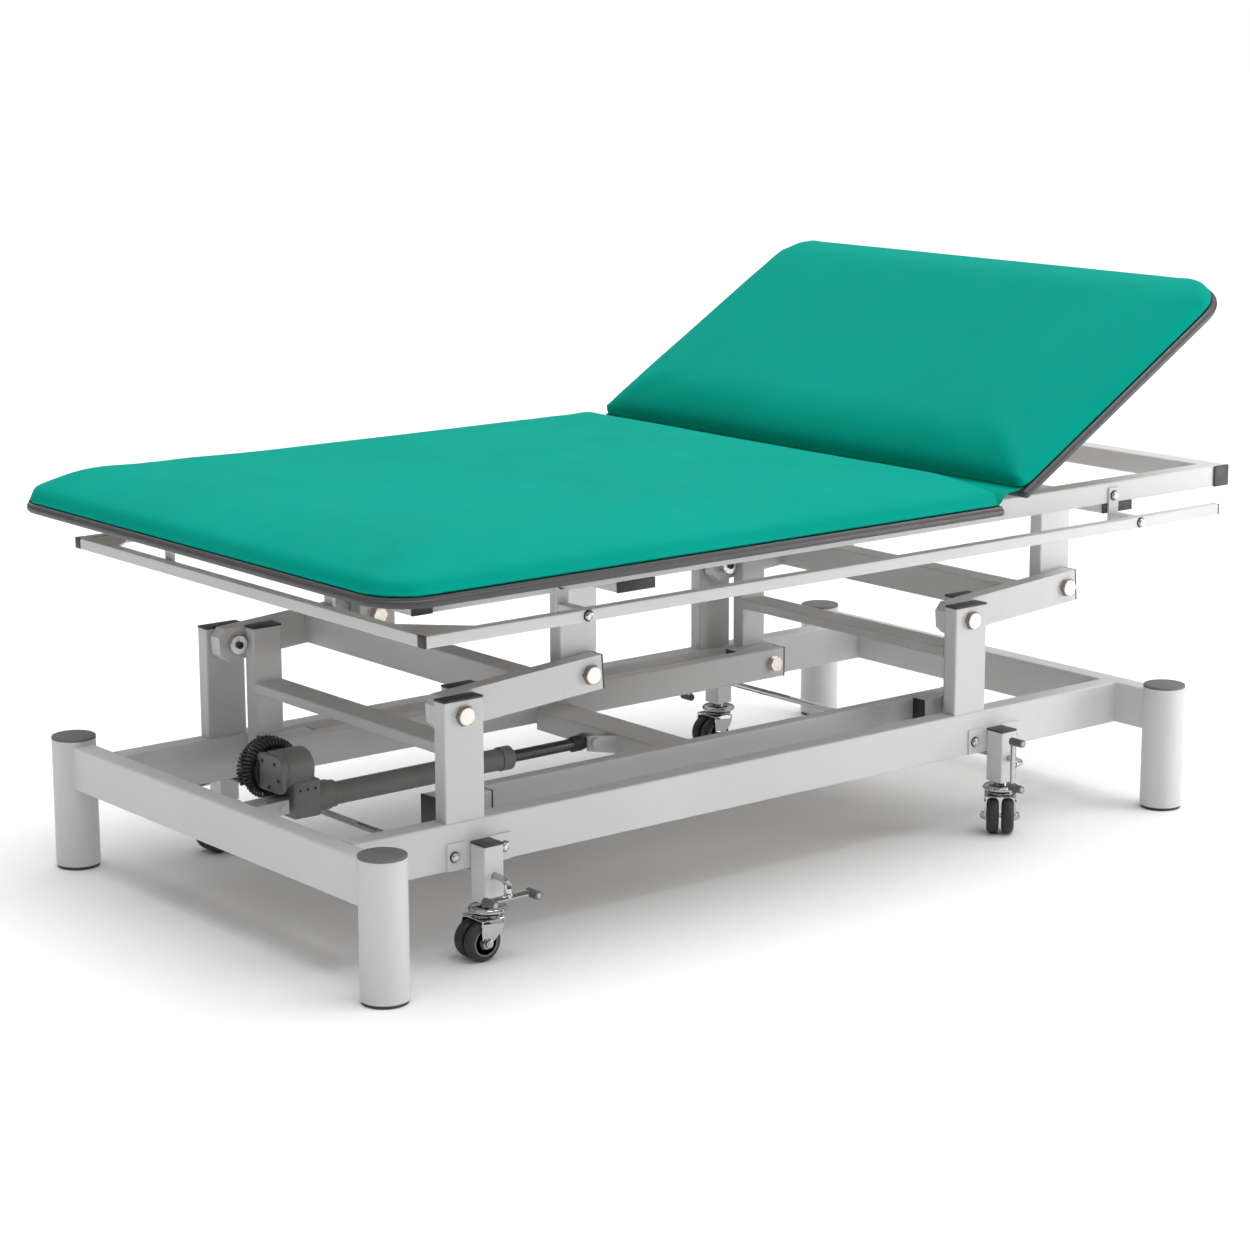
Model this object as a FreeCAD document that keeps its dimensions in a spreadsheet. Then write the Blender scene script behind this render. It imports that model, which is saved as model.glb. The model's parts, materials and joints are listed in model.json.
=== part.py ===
"""Bobath table: a wide, height-adjustable physiotherapy couch with a raised head section.

Millimetres. +X points to the head end, +Y to the far side, +Z up. The origin lies on
the floor, under the middle of the outline at rest. Near side means -Y.
"""
import FreeCAD
import Part
import Sketcher
import math
import os

doc = FreeCAD.newDocument("BobathTable")
sheet = doc.addObject("Spreadsheet::Sheet", "Sizes")
nodes = []


class Size(float):
    """A number that also carries the sheet formula it comes from."""

    def __new__(cls, value, formula):
        made = super().__new__(cls, value)
        made.formula = formula
        return made

    def __add__(self, other):
        return Size(float(self) + float(other), f"({self.formula} + {formula_of(other)})")

    def __radd__(self, other):
        return Size(float(other) + float(self), f"({formula_of(other)} + {self.formula})")

    def __sub__(self, other):
        return Size(float(self) - float(other), f"({self.formula} - {formula_of(other)})")

    def __rsub__(self, other):
        return Size(float(other) - float(self), f"({formula_of(other)} - {self.formula})")

    def __mul__(self, other):
        return Size(float(self) * float(other), f"({self.formula} * {formula_of(other)})")

    def __rmul__(self, other):
        return self * other

    def __truediv__(self, other):
        return Size(float(self) / float(other), f"({self.formula} / {formula_of(other)})")

    def __neg__(self):
        return Size(-float(self), f"(-{self.formula})")


def formula_of(value):
    """Sheet formula of a size, or the plain number."""
    return value.formula if isinstance(value, Size) else repr(float(value))


def size(alias, value):
    """Write one named size into the sheet."""
    row = len(sheet.getUsedCells()) + 1
    sheet.set(f"A{row}", str(value))
    sheet.setAlias(f"A{row}", alias)
    return Size(value, f"Sizes.{alias}")


# Base frame: four round legs, two end rails between them, two side rails between those.
leg_pitch = size("leg_pitch", 1822.0)
leg_track = size("leg_track", 982.0)
leg_foot_x = size("leg_foot_x", -976.0)
leg_dia = size("leg_dia", 80.0)
leg_wall = size("leg_wall", 3.0)
leg_tall = size("leg_tall", 244.0)
leg_cap_tall = size("leg_cap_tall", 5.0)
pad_tall = size("pad_tall", 6.0)
pad_dia = size("pad_dia", 76.0)
rail_tall = size("rail_tall", 80.0)
rail_wide = size("rail_wide", 40.0)
rail_wall = size("rail_wall", 3.0)
rail_base = size("rail_base", 151.0)
rail_track = size("rail_track", 730.0)
corner = size("corner", 3.5)
cope_gap = size("cope_gap", 0.1)

# Posts that carry the swing arms.
post_long = size("post_long", 80.0)
post_thick = size("post_thick", 30.0)
post_wall = size("post_wall", 2.5)
post_top = size("post_top", 437.0)
post_gap = size("post_gap", 3.0)
cap_thick = size("cap_thick", 4.0)

# Swing arms with their levers; both pairs are the same.
pivot_inset = size("pivot_inset", 240.0)
pivot_pitch = size("pivot_pitch", 1164.0)
pivot_z = size("pivot_z", 408.0)
arm_length = size("arm_length", 289.0)
arm_rise = size("arm_rise", 4.0)
arm_track = size("arm_track", 668.0)
arm_tall = size("arm_tall", 60.0)
arm_thick = size("arm_thick", 30.0)
arm_wall = size("arm_wall", 3.0)
arm_tail = size("arm_tail", 32.0)
arm_nose = size("arm_nose", 25.0)
arm_chamfer = size("arm_chamfer", 14.0)
arm_cross_at = size("arm_cross_at", 170.0)
arm_cross_wide = size("arm_cross_wide", 40.0)
bush_wall = size("bush_wall", 5.0)
lever_forward = size("lever_forward", 50.0)
lever_drop = size("lever_drop", 197.0)
lever_wide = size("lever_wide", 60.0)
lever_thick = size("lever_thick", 30.0)
lever_rise = size("lever_rise", 28.0)
lever_tail = size("lever_tail", 31.0)
lever_cross_tall = size("lever_cross_tall", 20.0)
lever_cross_drop = size("lever_cross_drop", 80.0)
side_gap = size("side_gap", 2.0)

# Pivot bolts.
bolt_dia = size("bolt_dia", 16.0)
bolt_fit = size("bolt_fit", 0.06)
hex_flats = size("hex_flats", 27.0)
head_tall = size("head_tall", 9.0)
washer_dia = size("washer_dia", 32.0)
washer_thick = size("washer_thick", 2.5)
screw_dia = size("screw_dia", 8.0)
screw_flats = size("screw_flats", 13.0)

# Push frame that joins the levers.
push_reach = size("push_reach", 27.0)
spacer_long = size("spacer_long", 100.0)
push_cross_x = size("push_cross_x", -126.0)
push_cross_z = size("push_cross_z", 188.0)
push_cross_long = size("push_cross_long", 80.0)
push_cross_tall = size("push_cross_tall", 40.0)

# Upper frame.
frame_tube = size("frame_tube", 40.0)
frame_wall = size("frame_wall", 2.5)
frame_track = size("frame_track", 908.0)
frame_top = size("frame_top", 651.0)
frame_foot_x = size("frame_foot_x", -902.0)
frame_head_x = size("frame_head_x", 1026.0)
hanger_tall = size("hanger_tall", 18.0)
hang_foot = size("hang_foot", 30.0)
track_tube = size("track_tube", 20.0)
track_wall = size("track_wall", 2.0)
track_stand = size("track_stand", 72.0)
track_drop = size("track_drop", 17.0)
track_foot_x = size("track_foot_x", -927.0)
track_head_x = size("track_head_x", 922.0)
gusset_leg = size("gusset_leg", 100.0)
gusset_thick = size("gusset_thick", 4.0)
strap_foot_x = size("strap_foot_x", -606.0)
strap_head_x = size("strap_head_x", 701.0)
strap_wide = size("strap_wide", 25.0)
strap_thick = size("strap_thick", 4.0)
strap_screw_rise = size("strap_screw_rise", 15.0)
end_strap_y = size("end_strap_y", 250.0)

# Deck: boards with a dark edge band and upholstered cushions.
deck_half = size("deck_half", 600.0)
deck_foot_x = size("deck_foot_x", -1026.0)
deck_break_x = size("deck_break_x", 287.0)
deck_corner = size("deck_corner", 85.0)
board_thick = size("board_thick", 16.0)
trim_thick = size("trim_thick", 4.0)
trim_lip = size("trim_lip", 2.0)
cushion_tall = size("cushion_tall", 56.0)
cushion_inset = size("cushion_inset", 5.0)
cushion_round = size("cushion_round", 26.0)
soft_gap = size("soft_gap", 0.3)
hinge_x = size("hinge_x", 296.5)
hinge_z = size("hinge_z", 677.0)
head_gap = size("head_gap", 37.5)
head_long = size("head_long", 630.0)
head_rise = size("head_rise", 31.0)
hinge_y = size("hinge_y", 380.0)
hinge_pin = size("hinge_pin", 8.0)
hinge_eye = size("hinge_eye", 15.0)
hinge_plate = size("hinge_plate", 6.0)
hinge_strap_long = size("hinge_strap_long", 160.0)

# Gas stay under the head section.
stay_base_out = size("stay_base_out", 50.0)
stay_base_drop = size("stay_base_drop", 52.0)
stay_far = size("stay_far", 340.0)
stay_low = size("stay_low", 55.0)
stay_tube = size("stay_tube", 24.0)
stay_rod = size("stay_rod", 10.0)
stay_sleeve = size("stay_sleeve", 225.0)
stay_eye = size("stay_eye", 20.0)
stay_eye_wide = size("stay_eye_wide", 12.0)
stay_pin = size("stay_pin", 8.0)
stay_gap = size("stay_gap", 1.0)

# Linear actuator.
motor_pivot_x = size("motor_pivot_x", -860.0)
motor_pivot_z = size("motor_pivot_z", 197.0)
rod_end_x = size("rod_end_x", -180.0)
rod_end_z = size("rod_end_z", 200.0)
lug_half = size("lug_half", 17.0)
lug_thick = size("lug_thick", 5.0)
lug_tall = size("lug_tall", 40.0)
pin_dia = size("pin_dia", 12.0)
pin_fit = size("pin_fit", 0.06)
motor_dia = size("motor_dia", 72.0)
motor_long = size("motor_long", 112.0)
motor_lift = size("motor_lift", 62.0)
motor_back = size("motor_back", 8.0)
cable_dia = size("cable_dia", 12.0)
gear_wide = size("gear_wide", 56.0)
gear_long = size("gear_long", 70.0)
outer_tube = size("outer_tube", 40.0)
outer_wall = size("outer_wall", 3.0)
tube_start = size("tube_start", 116.0)
tube_end = size("tube_end", 474.0)
collar_dia = size("collar_dia", 44.0)
collar_long = size("collar_long", 26.0)
rod_dia = size("rod_dia", 22.0)
rod_fit = size("rod_fit", 0.1)
rod_inside = size("rod_inside", 170.0)
eye_dia = size("eye_dia", 28.0)
eye_wide = size("eye_wide", 24.0)
rear_eye_dia = size("rear_eye_dia", 24.0)

# Lifting castors beside the side rails.
castor_foot_x = size("castor_foot_x", -713.0)
castor_pitch = size("castor_pitch", 1200.0)
socket_side = size("socket_side", 40.0)
socket_wall = size("socket_wall", 3.0)
socket_base = size("socket_base", 97.0)
socket_top = size("socket_top", 193.0)
plate_thick = size("plate_thick", 4.0)
plate_long = size("plate_long", 130.0)
plate_tall = size("plate_tall", 46.0)
pedal_z = size("pedal_z", 143.0)
pedal_rod = size("pedal_rod", 12.0)
pedal_fit = size("pedal_fit", 0.08)
pedal_drop = size("pedal_drop", 28.0)
pedal_out = size("pedal_out", 32.0)
pedal_half = size("pedal_half", 44.0)
pedal_gap = size("pedal_gap", 6.0)
crank_dia = size("crank_dia", 10.0)
grip_long = size("grip_long", 36.0)
grip_dia = size("grip_dia", 15.0)
slide_gap = size("slide_gap", 0.3)
slide_top = size("slide_top", 134.0)
slide_tall = size("slide_tall", 30.0)
neck_dia = size("neck_dia", 18.0)
flange_dia = size("flange_dia", 68.0)
flange_z = size("flange_z", 80.0)
flange_tall = size("flange_tall", 7.0)
swivel_dia = size("swivel_dia", 12.0)
fork_z = size("fork_z", 70.0)
fork_plate = size("fork_plate", 3.0)
fork_wide = size("fork_wide", 60.0)
fork_trail = size("fork_trail", 22.0)
wheel_dia = size("wheel_dia", 66.0)
wheel_lift = size("wheel_lift", 0.8)
tyre_wide = size("tyre_wide", 23.0)
tyre_gap = size("tyre_gap", 5.0)
axle_dia = size("axle_dia", 8.0)
axle_fit = size("axle_fit", 0.06)


def add(kind, name):
    """New document object of one kind."""
    return doc.addObject(kind, name)


def bind(item, prop, value):
    """Set a property and tie it to the sheet when the value comes from there."""
    if isinstance(value, Size):
        item.setExpression(prop, value.formula)
    else:
        setattr(item, prop, value)


def place(item, x, y, z, axis=(0, 0, 1), angle=0.0):
    """Put an object at a point, turned by an angle about an axis."""
    item.Placement = FreeCAD.Placement(
        FreeCAD.Vector(x, y, z), FreeCAD.Rotation(FreeCAD.Vector(*axis), float(angle))
    )
    for key, value in (("x", x), ("y", y), ("z", z)):
        if isinstance(value, Size):
            item.setExpression(f"Placement.Base.{key}", value.formula)
    if isinstance(angle, Size):
        item.setExpression("Placement.Rotation.Angle", angle.formula)
    return item


def box(name, long, wide, tall, x, y, z):
    """Rectangular block around a centre point."""
    made = add("Part::Box", name)
    bind(made, "Length", long)
    bind(made, "Width", wide)
    bind(made, "Height", tall)
    return place(made, x - long / 2, y - wide / 2, z - tall / 2)


def rod(name, dia, long, x, y, z, axis="Z"):
    """Round bar that starts at a point and runs along +X, +Y or +Z."""
    made = add("Part::Cylinder", name)
    bind(made, "Radius", dia / 2)
    bind(made, "Height", long)
    turn = {"X": ((0, 1, 0), 90.0), "Y": ((1, 0, 0), -90.0), "Z": ((0, 0, 1), 0.0)}[axis]
    return place(made, x, y, z, *turn)


def hexagon(name, flats, long, x, y, z, toward=1):
    """Hexagonal bolt head that starts at a point and runs along +Y or -Y."""
    made = add("Part::Prism", name)
    made.Polygon = 6
    bind(made, "Circumradius", flats * (1 / math.sqrt(3)))
    bind(made, "Height", long)
    return place(made, x, y, z, (1, 0, 0), -90.0 * toward)


def fuse(name, *parts):
    """One solid from several overlapping or touching ones."""
    made = add("Part::MultiFuse", name)
    made.Shapes = list(parts)
    made.Refine = True
    return made


def cut(name, base, *tools):
    """Base with the tools taken out of it."""
    last = base
    for number, tool in enumerate(tools):
        made = add("Part::Cut", f"{name}{number}")
        made.Base = last
        made.Tool = tool
        last = made
    return last


def mirror(name, source):
    """The same piece on the far side."""
    made = add("Part::Mirroring", name)
    made.Source = source
    made.Normal = (0, 1, 0)
    made.Base = (0, 0, 0)
    return made


def node(label, *members):
    """Name one sub-part; several members become one group."""
    if len(members) == 1:
        made = members[0]
    else:
        made = add("Part::Compound", f"{label}_group")
        made.Links = list(members)
    made.Label = label
    nodes.append(made)
    return made


def both(*members):
    """Near pieces followed by their far twins."""
    return list(members) + [mirror(f"{member.Name}_far", member) for member in members]


def plane(body, role):
    """Origin plane of a body."""
    return next(face for face in body.Origin.OriginFeatures if face.Role == role)


def sketch(body, name, role, shift=0.0):
    """Sketch on an origin plane, moved along the plane's normal."""
    made = body.newObject("Sketcher::SketchObject", name)
    made.AttachmentSupport = (plane(body, role), "")
    made.MapMode = "FlatFace"
    if isinstance(shift, Size):
        made.setExpression("AttachmentOffset.Base.z", shift.formula)
    return made


def pin_point(target, geometry, corner_index, across, up):
    """Fix one sketch point at its distances from the sketch's origin."""
    for kind, value in (("DistanceX", across), ("DistanceY", up)):
        index = target.addConstraint(
            Sketcher.Constraint(kind, -1, 1, geometry, corner_index, float(value))
        )
        if isinstance(value, Size):
            target.setExpression(f"Constraints[{index}]", value.formula)


def polygon(target, points):
    """Closed outline through points."""
    count = len(points)
    first = len(target.Geometry)
    for number, (across, up) in enumerate(points):
        after = points[(number + 1) % count]
        target.addGeometry(
            Part.LineSegment(FreeCAD.Vector(across, up, 0), FreeCAD.Vector(after[0], after[1], 0))
        )
    for number in range(count):
        target.addConstraint(
            Sketcher.Constraint(
                "Coincident", first + number, 2, first + (number + 1) % count, 1
            )
        )
    for number, (across, up) in enumerate(points):
        pin_point(target, first + number, 1, across, up)


def rectangle(target, wide, tall, across=0.0, up=0.0):
    """Rectangle around a point."""
    left = across - wide / 2
    right = across + wide / 2
    low = up - tall / 2
    high = up + tall / 2
    polygon(target, [(left, low), (right, low), (right, high), (left, high)])


def circle(target, dia, across=0.0, up=0.0):
    """Circle around a point."""
    number = target.addGeometry(
        Part.Circle(FreeCAD.Vector(across, up, 0), FreeCAD.Vector(0, 0, 1), float(dia) / 2)
    )
    pin_point(target, number, 3, across, up)
    index = target.addConstraint(Sketcher.Constraint("Diameter", number, float(dia)))
    if isinstance(dia, Size):
        target.setExpression(f"Constraints[{index}]", dia.formula)


def pad(body, name, profile, long):
    """Extrude a sketch evenly to both sides of its plane."""
    made = body.newObject("PartDesign::Pad", name)
    made.Profile = profile
    made.Midplane = True
    bind(made, "Length", long)
    profile.Visibility = False
    return made


def pocket(body, name, profile, long):
    """Cut a sketch evenly to both sides of its plane, and make sure that it cuts."""
    doc.recompute()
    before = body.Shape.Volume
    made = body.newObject("PartDesign::Pocket", name)
    made.Profile = profile
    made.Midplane = True
    bind(made, "Length", long)
    doc.recompute()
    if not body.Shape.Volume < before - 1.0:
        raise RuntimeError(f"{name} cuts nothing")
    return made


def round_edges(body, name, base, along, radius):
    """Fillet the outer edges that run along one axis."""
    doc.recompute()
    limits = base.Shape.BoundBox
    spans = {
        "X": (limits.YMin, limits.YMax, limits.ZMin, limits.ZMax),
        "Y": (limits.XMin, limits.XMax, limits.ZMin, limits.ZMax),
        "Z": (limits.XMin, limits.XMax, limits.YMin, limits.YMax),
    }[along]
    keys = {"X": ("y", "z"), "Y": ("x", "z"), "Z": ("x", "y")}[along]
    names = []
    for number, edge in enumerate(base.Shape.Edges, 1):
        middle = edge.CenterOfMass
        first = getattr(middle, keys[0])
        second = getattr(middle, keys[1])
        on_first = min(abs(first - spans[0]), abs(first - spans[1])) < 1e-4
        on_second = min(abs(second - spans[2]), abs(second - spans[3])) < 1e-4
        if on_first and on_second:
            names.append(f"Edge{number}")
    made = body.newObject("PartDesign::Fillet", name)
    made.Base = (base, names)
    bind(made, "Radius", radius)
    return made


def tube(name, axis, long, wide, tall, wall, x, y, z, radius=corner, axis_turn=None):
    """Rectangular hollow section around a centre point.

    The section is wide x tall: Y by Z for a tube along X, X by Z along Y, X by Y along Z.
    """
    role = {"X": "YZ_Plane", "Y": "XZ_Plane", "Z": "XY_Plane"}[axis]
    made = add("PartDesign::Body", name)
    section = sketch(made, f"{name}_section", role)
    rectangle(section, wide, tall)
    rectangle(section, wide - 2 * wall, tall - 2 * wall)
    bar = pad(made, f"{name}_bar", section, long)
    round_edges(made, f"{name}_corners", bar, axis, radius)
    if axis_turn is None:
        return place(made, x, y, z)
    return place(made, x, y, z, *axis_turn)


def bore(body, name, dia, across, up, deep):
    """Hole along Y through a body."""
    hole = sketch(body, f"{name}_circle", "XZ_Plane")
    circle(hole, dia, across, up)
    return pocket(body, name, hole, deep)


# Widths from the middle plane outwards, in layers that slide past each other.
arm_y = arm_track / 2
post_y = arm_y + arm_thick / 2 + post_gap + post_thick / 2
lever_y = arm_y - arm_thick / 2 - lever_thick / 2
hang_y = arm_y - arm_thick / 2 - side_gap - post_thick / 2
spacer_y = lever_y - lever_thick / 2 - side_gap - lever_thick / 2
push_y = spacer_y - lever_thick
rail_y = rail_track / 2
rail_top = rail_base + rail_tall
rail_mid_z = rail_base + rail_tall / 2
leg_head_x = leg_foot_x + leg_pitch
leg_y = leg_track / 2
pivot_foot_x = leg_foot_x + pivot_inset
pivot_head_x = pivot_foot_x + pivot_pitch
rise = math.radians(arm_rise)
far_pivot_x = arm_length * math.cos(rise)
far_pivot_z = pivot_z + arm_length * math.sin(rise)
push_z = pivot_z - lever_drop

# Legs, caps and pads.
leg_bodies = []
cap_bodies = []
pad_bodies = []
for end, leg_x in (("foot", leg_foot_x), ("head", leg_head_x)):
    leg = add("PartDesign::Body", f"leg_{end}")
    ring = sketch(leg, f"leg_{end}_ring", "XY_Plane")
    circle(ring, leg_dia)
    circle(ring, leg_dia - 2 * leg_wall)
    pad(leg, f"leg_{end}_tube", ring, leg_tall - leg_cap_tall - pad_tall)
    place(leg, leg_x, -leg_y, pad_tall + (leg_tall - leg_cap_tall - pad_tall) / 2)
    leg_bodies.append(leg)
    cap_disc = rod(f"leg_cap_{end}", leg_dia, leg_cap_tall, leg_x, -leg_y, leg_tall - leg_cap_tall)
    cap_edge = add("Part::Fillet", f"leg_cap_{end}_edge")
    cap_edge.Base = cap_disc
    doc.recompute()
    cap_rim = max(range(3), key=lambda number: cap_disc.Shape.Edges[number].CenterOfMass.z)
    cap_edge.Edges = [(cap_rim + 1, 2.0, 2.0)]
    cap_bodies.append(cap_edge)
    pad_bodies.append(rod(f"foot_pad_{end}", pad_dia, pad_tall, leg_x, -leg_y, 0.0))
node("legs", *both(*leg_bodies))
node("leg_caps", *both(*cap_bodies))
node("foot_pads", *both(*pad_bodies))

# End rails, coped onto the legs, and side rails between the end rails.
end_rails = []
for end, leg_x in (("foot", leg_foot_x), ("head", leg_head_x)):
    bar = tube(
        f"end_rail_{end}", "Y", leg_track, rail_wide, rail_tall, rail_wall, leg_x, 0.0, rail_mid_z
    )
    copes = [
        rod(
            f"cope_{end}_{side}", leg_dia + 2 * cope_gap, rail_tall + 20, leg_x,
            side * leg_y, rail_base - 10
        )
        for side in (-1, 1)
    ]
    end_rails.append(cut(f"end_rail_{end}_coped", bar, *copes))
node("base_end_rails", *end_rails)
side_rail = tube(
    "side_rail", "X", leg_pitch - rail_wide, rail_wide, rail_tall, rail_wall,
    leg_foot_x + leg_pitch / 2, -rail_y, rail_mid_z
)
node("base_side_rails", *both(side_rail))

# Posts on the side rails with a bore for each main pivot.
posts = []
post_caps = []
post_long_z = post_top - cap_thick - rail_top
for end, pivot_x in (("foot", pivot_foot_x), ("head", pivot_head_x)):
    post_mid_z = rail_top + post_long_z / 2
    post = tube(
        f"post_{end}", "Z", post_long_z, post_long, post_thick, post_wall,
        pivot_x, -post_y, post_mid_z
    )
    bore(
        post, f"post_{end}_bore", bolt_dia + 2 * bolt_fit, 0.0, pivot_z - post_mid_z,
        2 * post_thick
    )
    posts.append(post)
    post_caps.append(
        box(
            f"post_cap_{end}", post_long, post_thick, cap_thick,
            pivot_x, -post_y, post_top - cap_thick / 2
        )
    )
node("base_posts", *both(*posts))


def pivot_bolt(name, x, z, outer_y, inner_y, head_on_washer=False):
    """Bolt along Y through two pieces: hex head outside, washer and nut inside."""
    shank = rod(
        f"{name}_shank", bolt_dia, outer_y - inner_y + washer_thick + head_tall,
        x, -outer_y, z, "Y"
    )
    head = hexagon(f"{name}_head", hex_flats, head_tall, x, -outer_y, z, -1)
    washer = rod(f"{name}_washer", washer_dia, washer_thick, x, -inner_y, z, "Y")
    nut = hexagon(f"{name}_nut", hex_flats, head_tall, x, washer_thick - inner_y, z, 1)
    return fuse(name, shank, head, washer, nut)


# Swing arms: hollow, closed and chamfered at the tail, with bushes for both pivots.
swing_turn = ((0, 1, 0), -arm_rise)
arm_far_y = arm_y - arm_thick / 2
for end, pivot_x in (("foot", pivot_foot_x), ("head", pivot_head_x)):
    arm = add("PartDesign::Body", f"{end}_arm")
    side = sketch(arm, f"{end}_arm_side", "XZ_Plane")
    half = arm_tall / 2
    tip = arm_length + arm_nose
    polygon(
        side,
        [
            (-arm_tail, -half + arm_chamfer),
            (-arm_tail + arm_chamfer, -half),
            (tip, -half),
            (tip, half),
            (-arm_tail + arm_chamfer, half),
            (-arm_tail, half - arm_chamfer),
        ],
    )
    pad(arm, f"{end}_arm_plate", side, arm_thick)
    hollow = sketch(arm, f"{end}_arm_hollow", "XZ_Plane")
    inner = half - arm_wall
    polygon(
        hollow,
        [
            (-arm_tail + arm_wall, -inner + arm_chamfer),
            (-arm_tail + arm_wall + arm_chamfer, -inner),
            (tip + 5, -inner),
            (tip + 5, inner),
            (-arm_tail + arm_wall + arm_chamfer, inner),
            (-arm_tail + arm_wall, inner - arm_chamfer),
        ],
    )
    pocket(arm, f"{end}_arm_cavity", hollow, arm_thick - 2 * arm_wall)
    for spot, at in (("base", 0.0), ("tip", arm_length)):
        bush = sketch(arm, f"{end}_arm_bush_{spot}", "XZ_Plane")
        circle(bush, bolt_dia + 2 * bolt_fit + 2 * bush_wall, at, 0.0)
        pad(arm, f"{end}_arm_sleeve_{spot}", bush, arm_thick)
        bore(arm, f"{end}_arm_bore_{spot}", bolt_dia + 2 * bolt_fit, at, 0.0, 2 * arm_thick)
    place(arm, pivot_x, -arm_y, pivot_z, *swing_turn)
    node(f"{end}_arms", *both(arm))

    lever_x = pivot_x + lever_forward
    lever_low = push_z - lever_tail
    lever_high = pivot_z + lever_rise
    lever_mid = (lever_low + lever_high) / 2
    lever = tube(
        f"{end}_lever", "Z", lever_high - lever_low, lever_wide, lever_thick, arm_wall,
        lever_x, -lever_y, lever_mid
    )
    bore(lever, f"{end}_lever_bore", bolt_dia + 2 * bolt_fit, 0.0, push_z - lever_mid, 2 * lever_thick)
    node(f"{end}_levers", *both(lever))

    arm_cross = tube(
        f"{end}_arm_cross", "Y", 2 * arm_far_y, arm_cross_wide, arm_tall, arm_wall,
        pivot_x + arm_cross_at * math.cos(rise), 0.0, pivot_z + arm_cross_at * math.sin(rise),
        axis_turn=swing_turn
    )
    lever_cross = tube(
        f"{end}_lever_cross", "Y", 2 * (lever_y - lever_thick / 2), lever_wide, lever_cross_tall,
        arm_wall, lever_x, 0.0, pivot_z - lever_cross_drop
    )
    node(f"{end}_cross_tubes", arm_cross, lever_cross)

    tip_cap = add("Part::Box", f"{end}_arm_cap")
    bind(tip_cap, "Length", cap_thick)
    bind(tip_cap, "Width", arm_thick)
    bind(tip_cap, "Height", arm_tall)
    cap_along = arm_length + arm_nose
    place(
        tip_cap,
        pivot_x + cap_along * math.cos(rise) + arm_tall / 2 * math.sin(rise),
        -arm_y - arm_thick / 2,
        pivot_z + cap_along * math.sin(rise) - arm_tall / 2 * math.cos(rise),
        *swing_turn
    )
    lever_cap = box(
        f"{end}_lever_cap", lever_wide, lever_thick, cap_thick,
        lever_x, -lever_y, lever_high + cap_thick / 2
    )
    node(f"{end}_swing_caps", *both(tip_cap, lever_cap))

# Push frame: long side tubes, spacer tubes at the lever pivots and a cross tube.
push_foot_x = pivot_foot_x + lever_forward - push_reach
push_head_x = pivot_head_x + lever_forward + push_reach
push_mid_x = (push_foot_x + push_head_x) / 2
push_side = tube(
    "push_side", "X", push_head_x - push_foot_x, lever_thick, lever_wide, arm_wall,
    push_mid_x, -push_y, push_z
)
spacers = []
push_caps = []
lever_bolts = []
push_inner_y = push_y - lever_thick / 2
for end, way in (("foot", 1), ("head", -1)):
    edge = push_foot_x if end == "foot" else push_head_x
    pivot_x = (pivot_foot_x if end == "foot" else pivot_head_x) + lever_forward
    spacer = tube(
        f"spacer_{end}", "X", spacer_long, lever_thick, lever_wide, arm_wall,
        edge + way * spacer_long / 2, -spacer_y, push_z
    )
    for piece, middle in ((spacer, edge + way * spacer_long / 2), (push_side, push_mid_x)):
        bore(
            piece, f"{piece.Name}_bore_{end}", bolt_dia + 2 * bolt_fit, pivot_x - middle, 0.0,
            2 * lever_thick
        )
    spacers.append(spacer)
    push_caps.append(
        box(
            f"push_cap_{end}", cap_thick, 2 * lever_thick, lever_wide,
            edge - way * cap_thick / 2, -(push_y + spacer_y) / 2, push_z
        )
    )
    push_caps.append(
        box(
            f"spacer_cap_{end}", cap_thick, lever_thick, lever_wide,
            edge + way * (spacer_long + cap_thick / 2), -spacer_y, push_z
        )
    )
    lever_bolts.append(
        pivot_bolt(f"lever_bolt_{end}", pivot_x, push_z, lever_y + lever_thick / 2 + side_gap / 4,
                   push_inner_y)
    )
node("push_side_tubes", *both(push_side))
node("push_spacers", *both(*spacers))
node("push_caps", *both(*push_caps))
node("lever_pivot_bolts", *both(*lever_bolts))
push_cross = tube(
    "push_cross", "Y", 2 * push_inner_y, push_cross_long, push_cross_tall, arm_wall,
    push_cross_x + push_cross_long / 2, 0.0, push_cross_z
)

# Clevis for the actuator rod: two cheeks; the bolt's middle is left out between them.
cheek_y = eye_wide / 2 + side_gap + lug_thick / 2
cheek_front = rod_end_x - eye_dia / 2
clevis_parts = []
cheek = add("PartDesign::Body", "clevis_cheek")
cheek_side = sketch(cheek, "clevis_cheek_side", "XZ_Plane")
cheek_low = rod_end_z - eye_dia / 2
cheek_high = rod_end_z + eye_dia / 2
polygon(
    cheek_side,
    [
        (cheek_front, cheek_low),
        (push_cross_x, push_cross_z - push_cross_tall / 2 + corner),
        (push_cross_x, push_cross_z + push_cross_tall / 2 - corner),
        (rod_end_x, cheek_high),
        (cheek_front, cheek_high),
    ],
)
pad(cheek, "clevis_cheek_plate", cheek_side, lug_thick)
bore(cheek, "clevis_cheek_bore", pin_dia + 2 * pin_fit, rod_end_x, rod_end_z, 2 * lug_thick)
place(cheek, 0.0, -cheek_y, 0.0)
cheek_outer = cheek_y + lug_thick / 2
stub = rod("clevis_stub", pin_dia, lug_thick + 4, rod_end_x, -cheek_outer - 4, rod_end_z, "Y")
stub_head = hexagon("clevis_head", screw_flats + 6, 8.0, rod_end_x, -cheek_outer, rod_end_z, -1)
clevis_bolt = fuse("clevis_bolt", stub, stub_head)
node("push_cross_tube", push_cross, *both(cheek, clevis_bolt))

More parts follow.
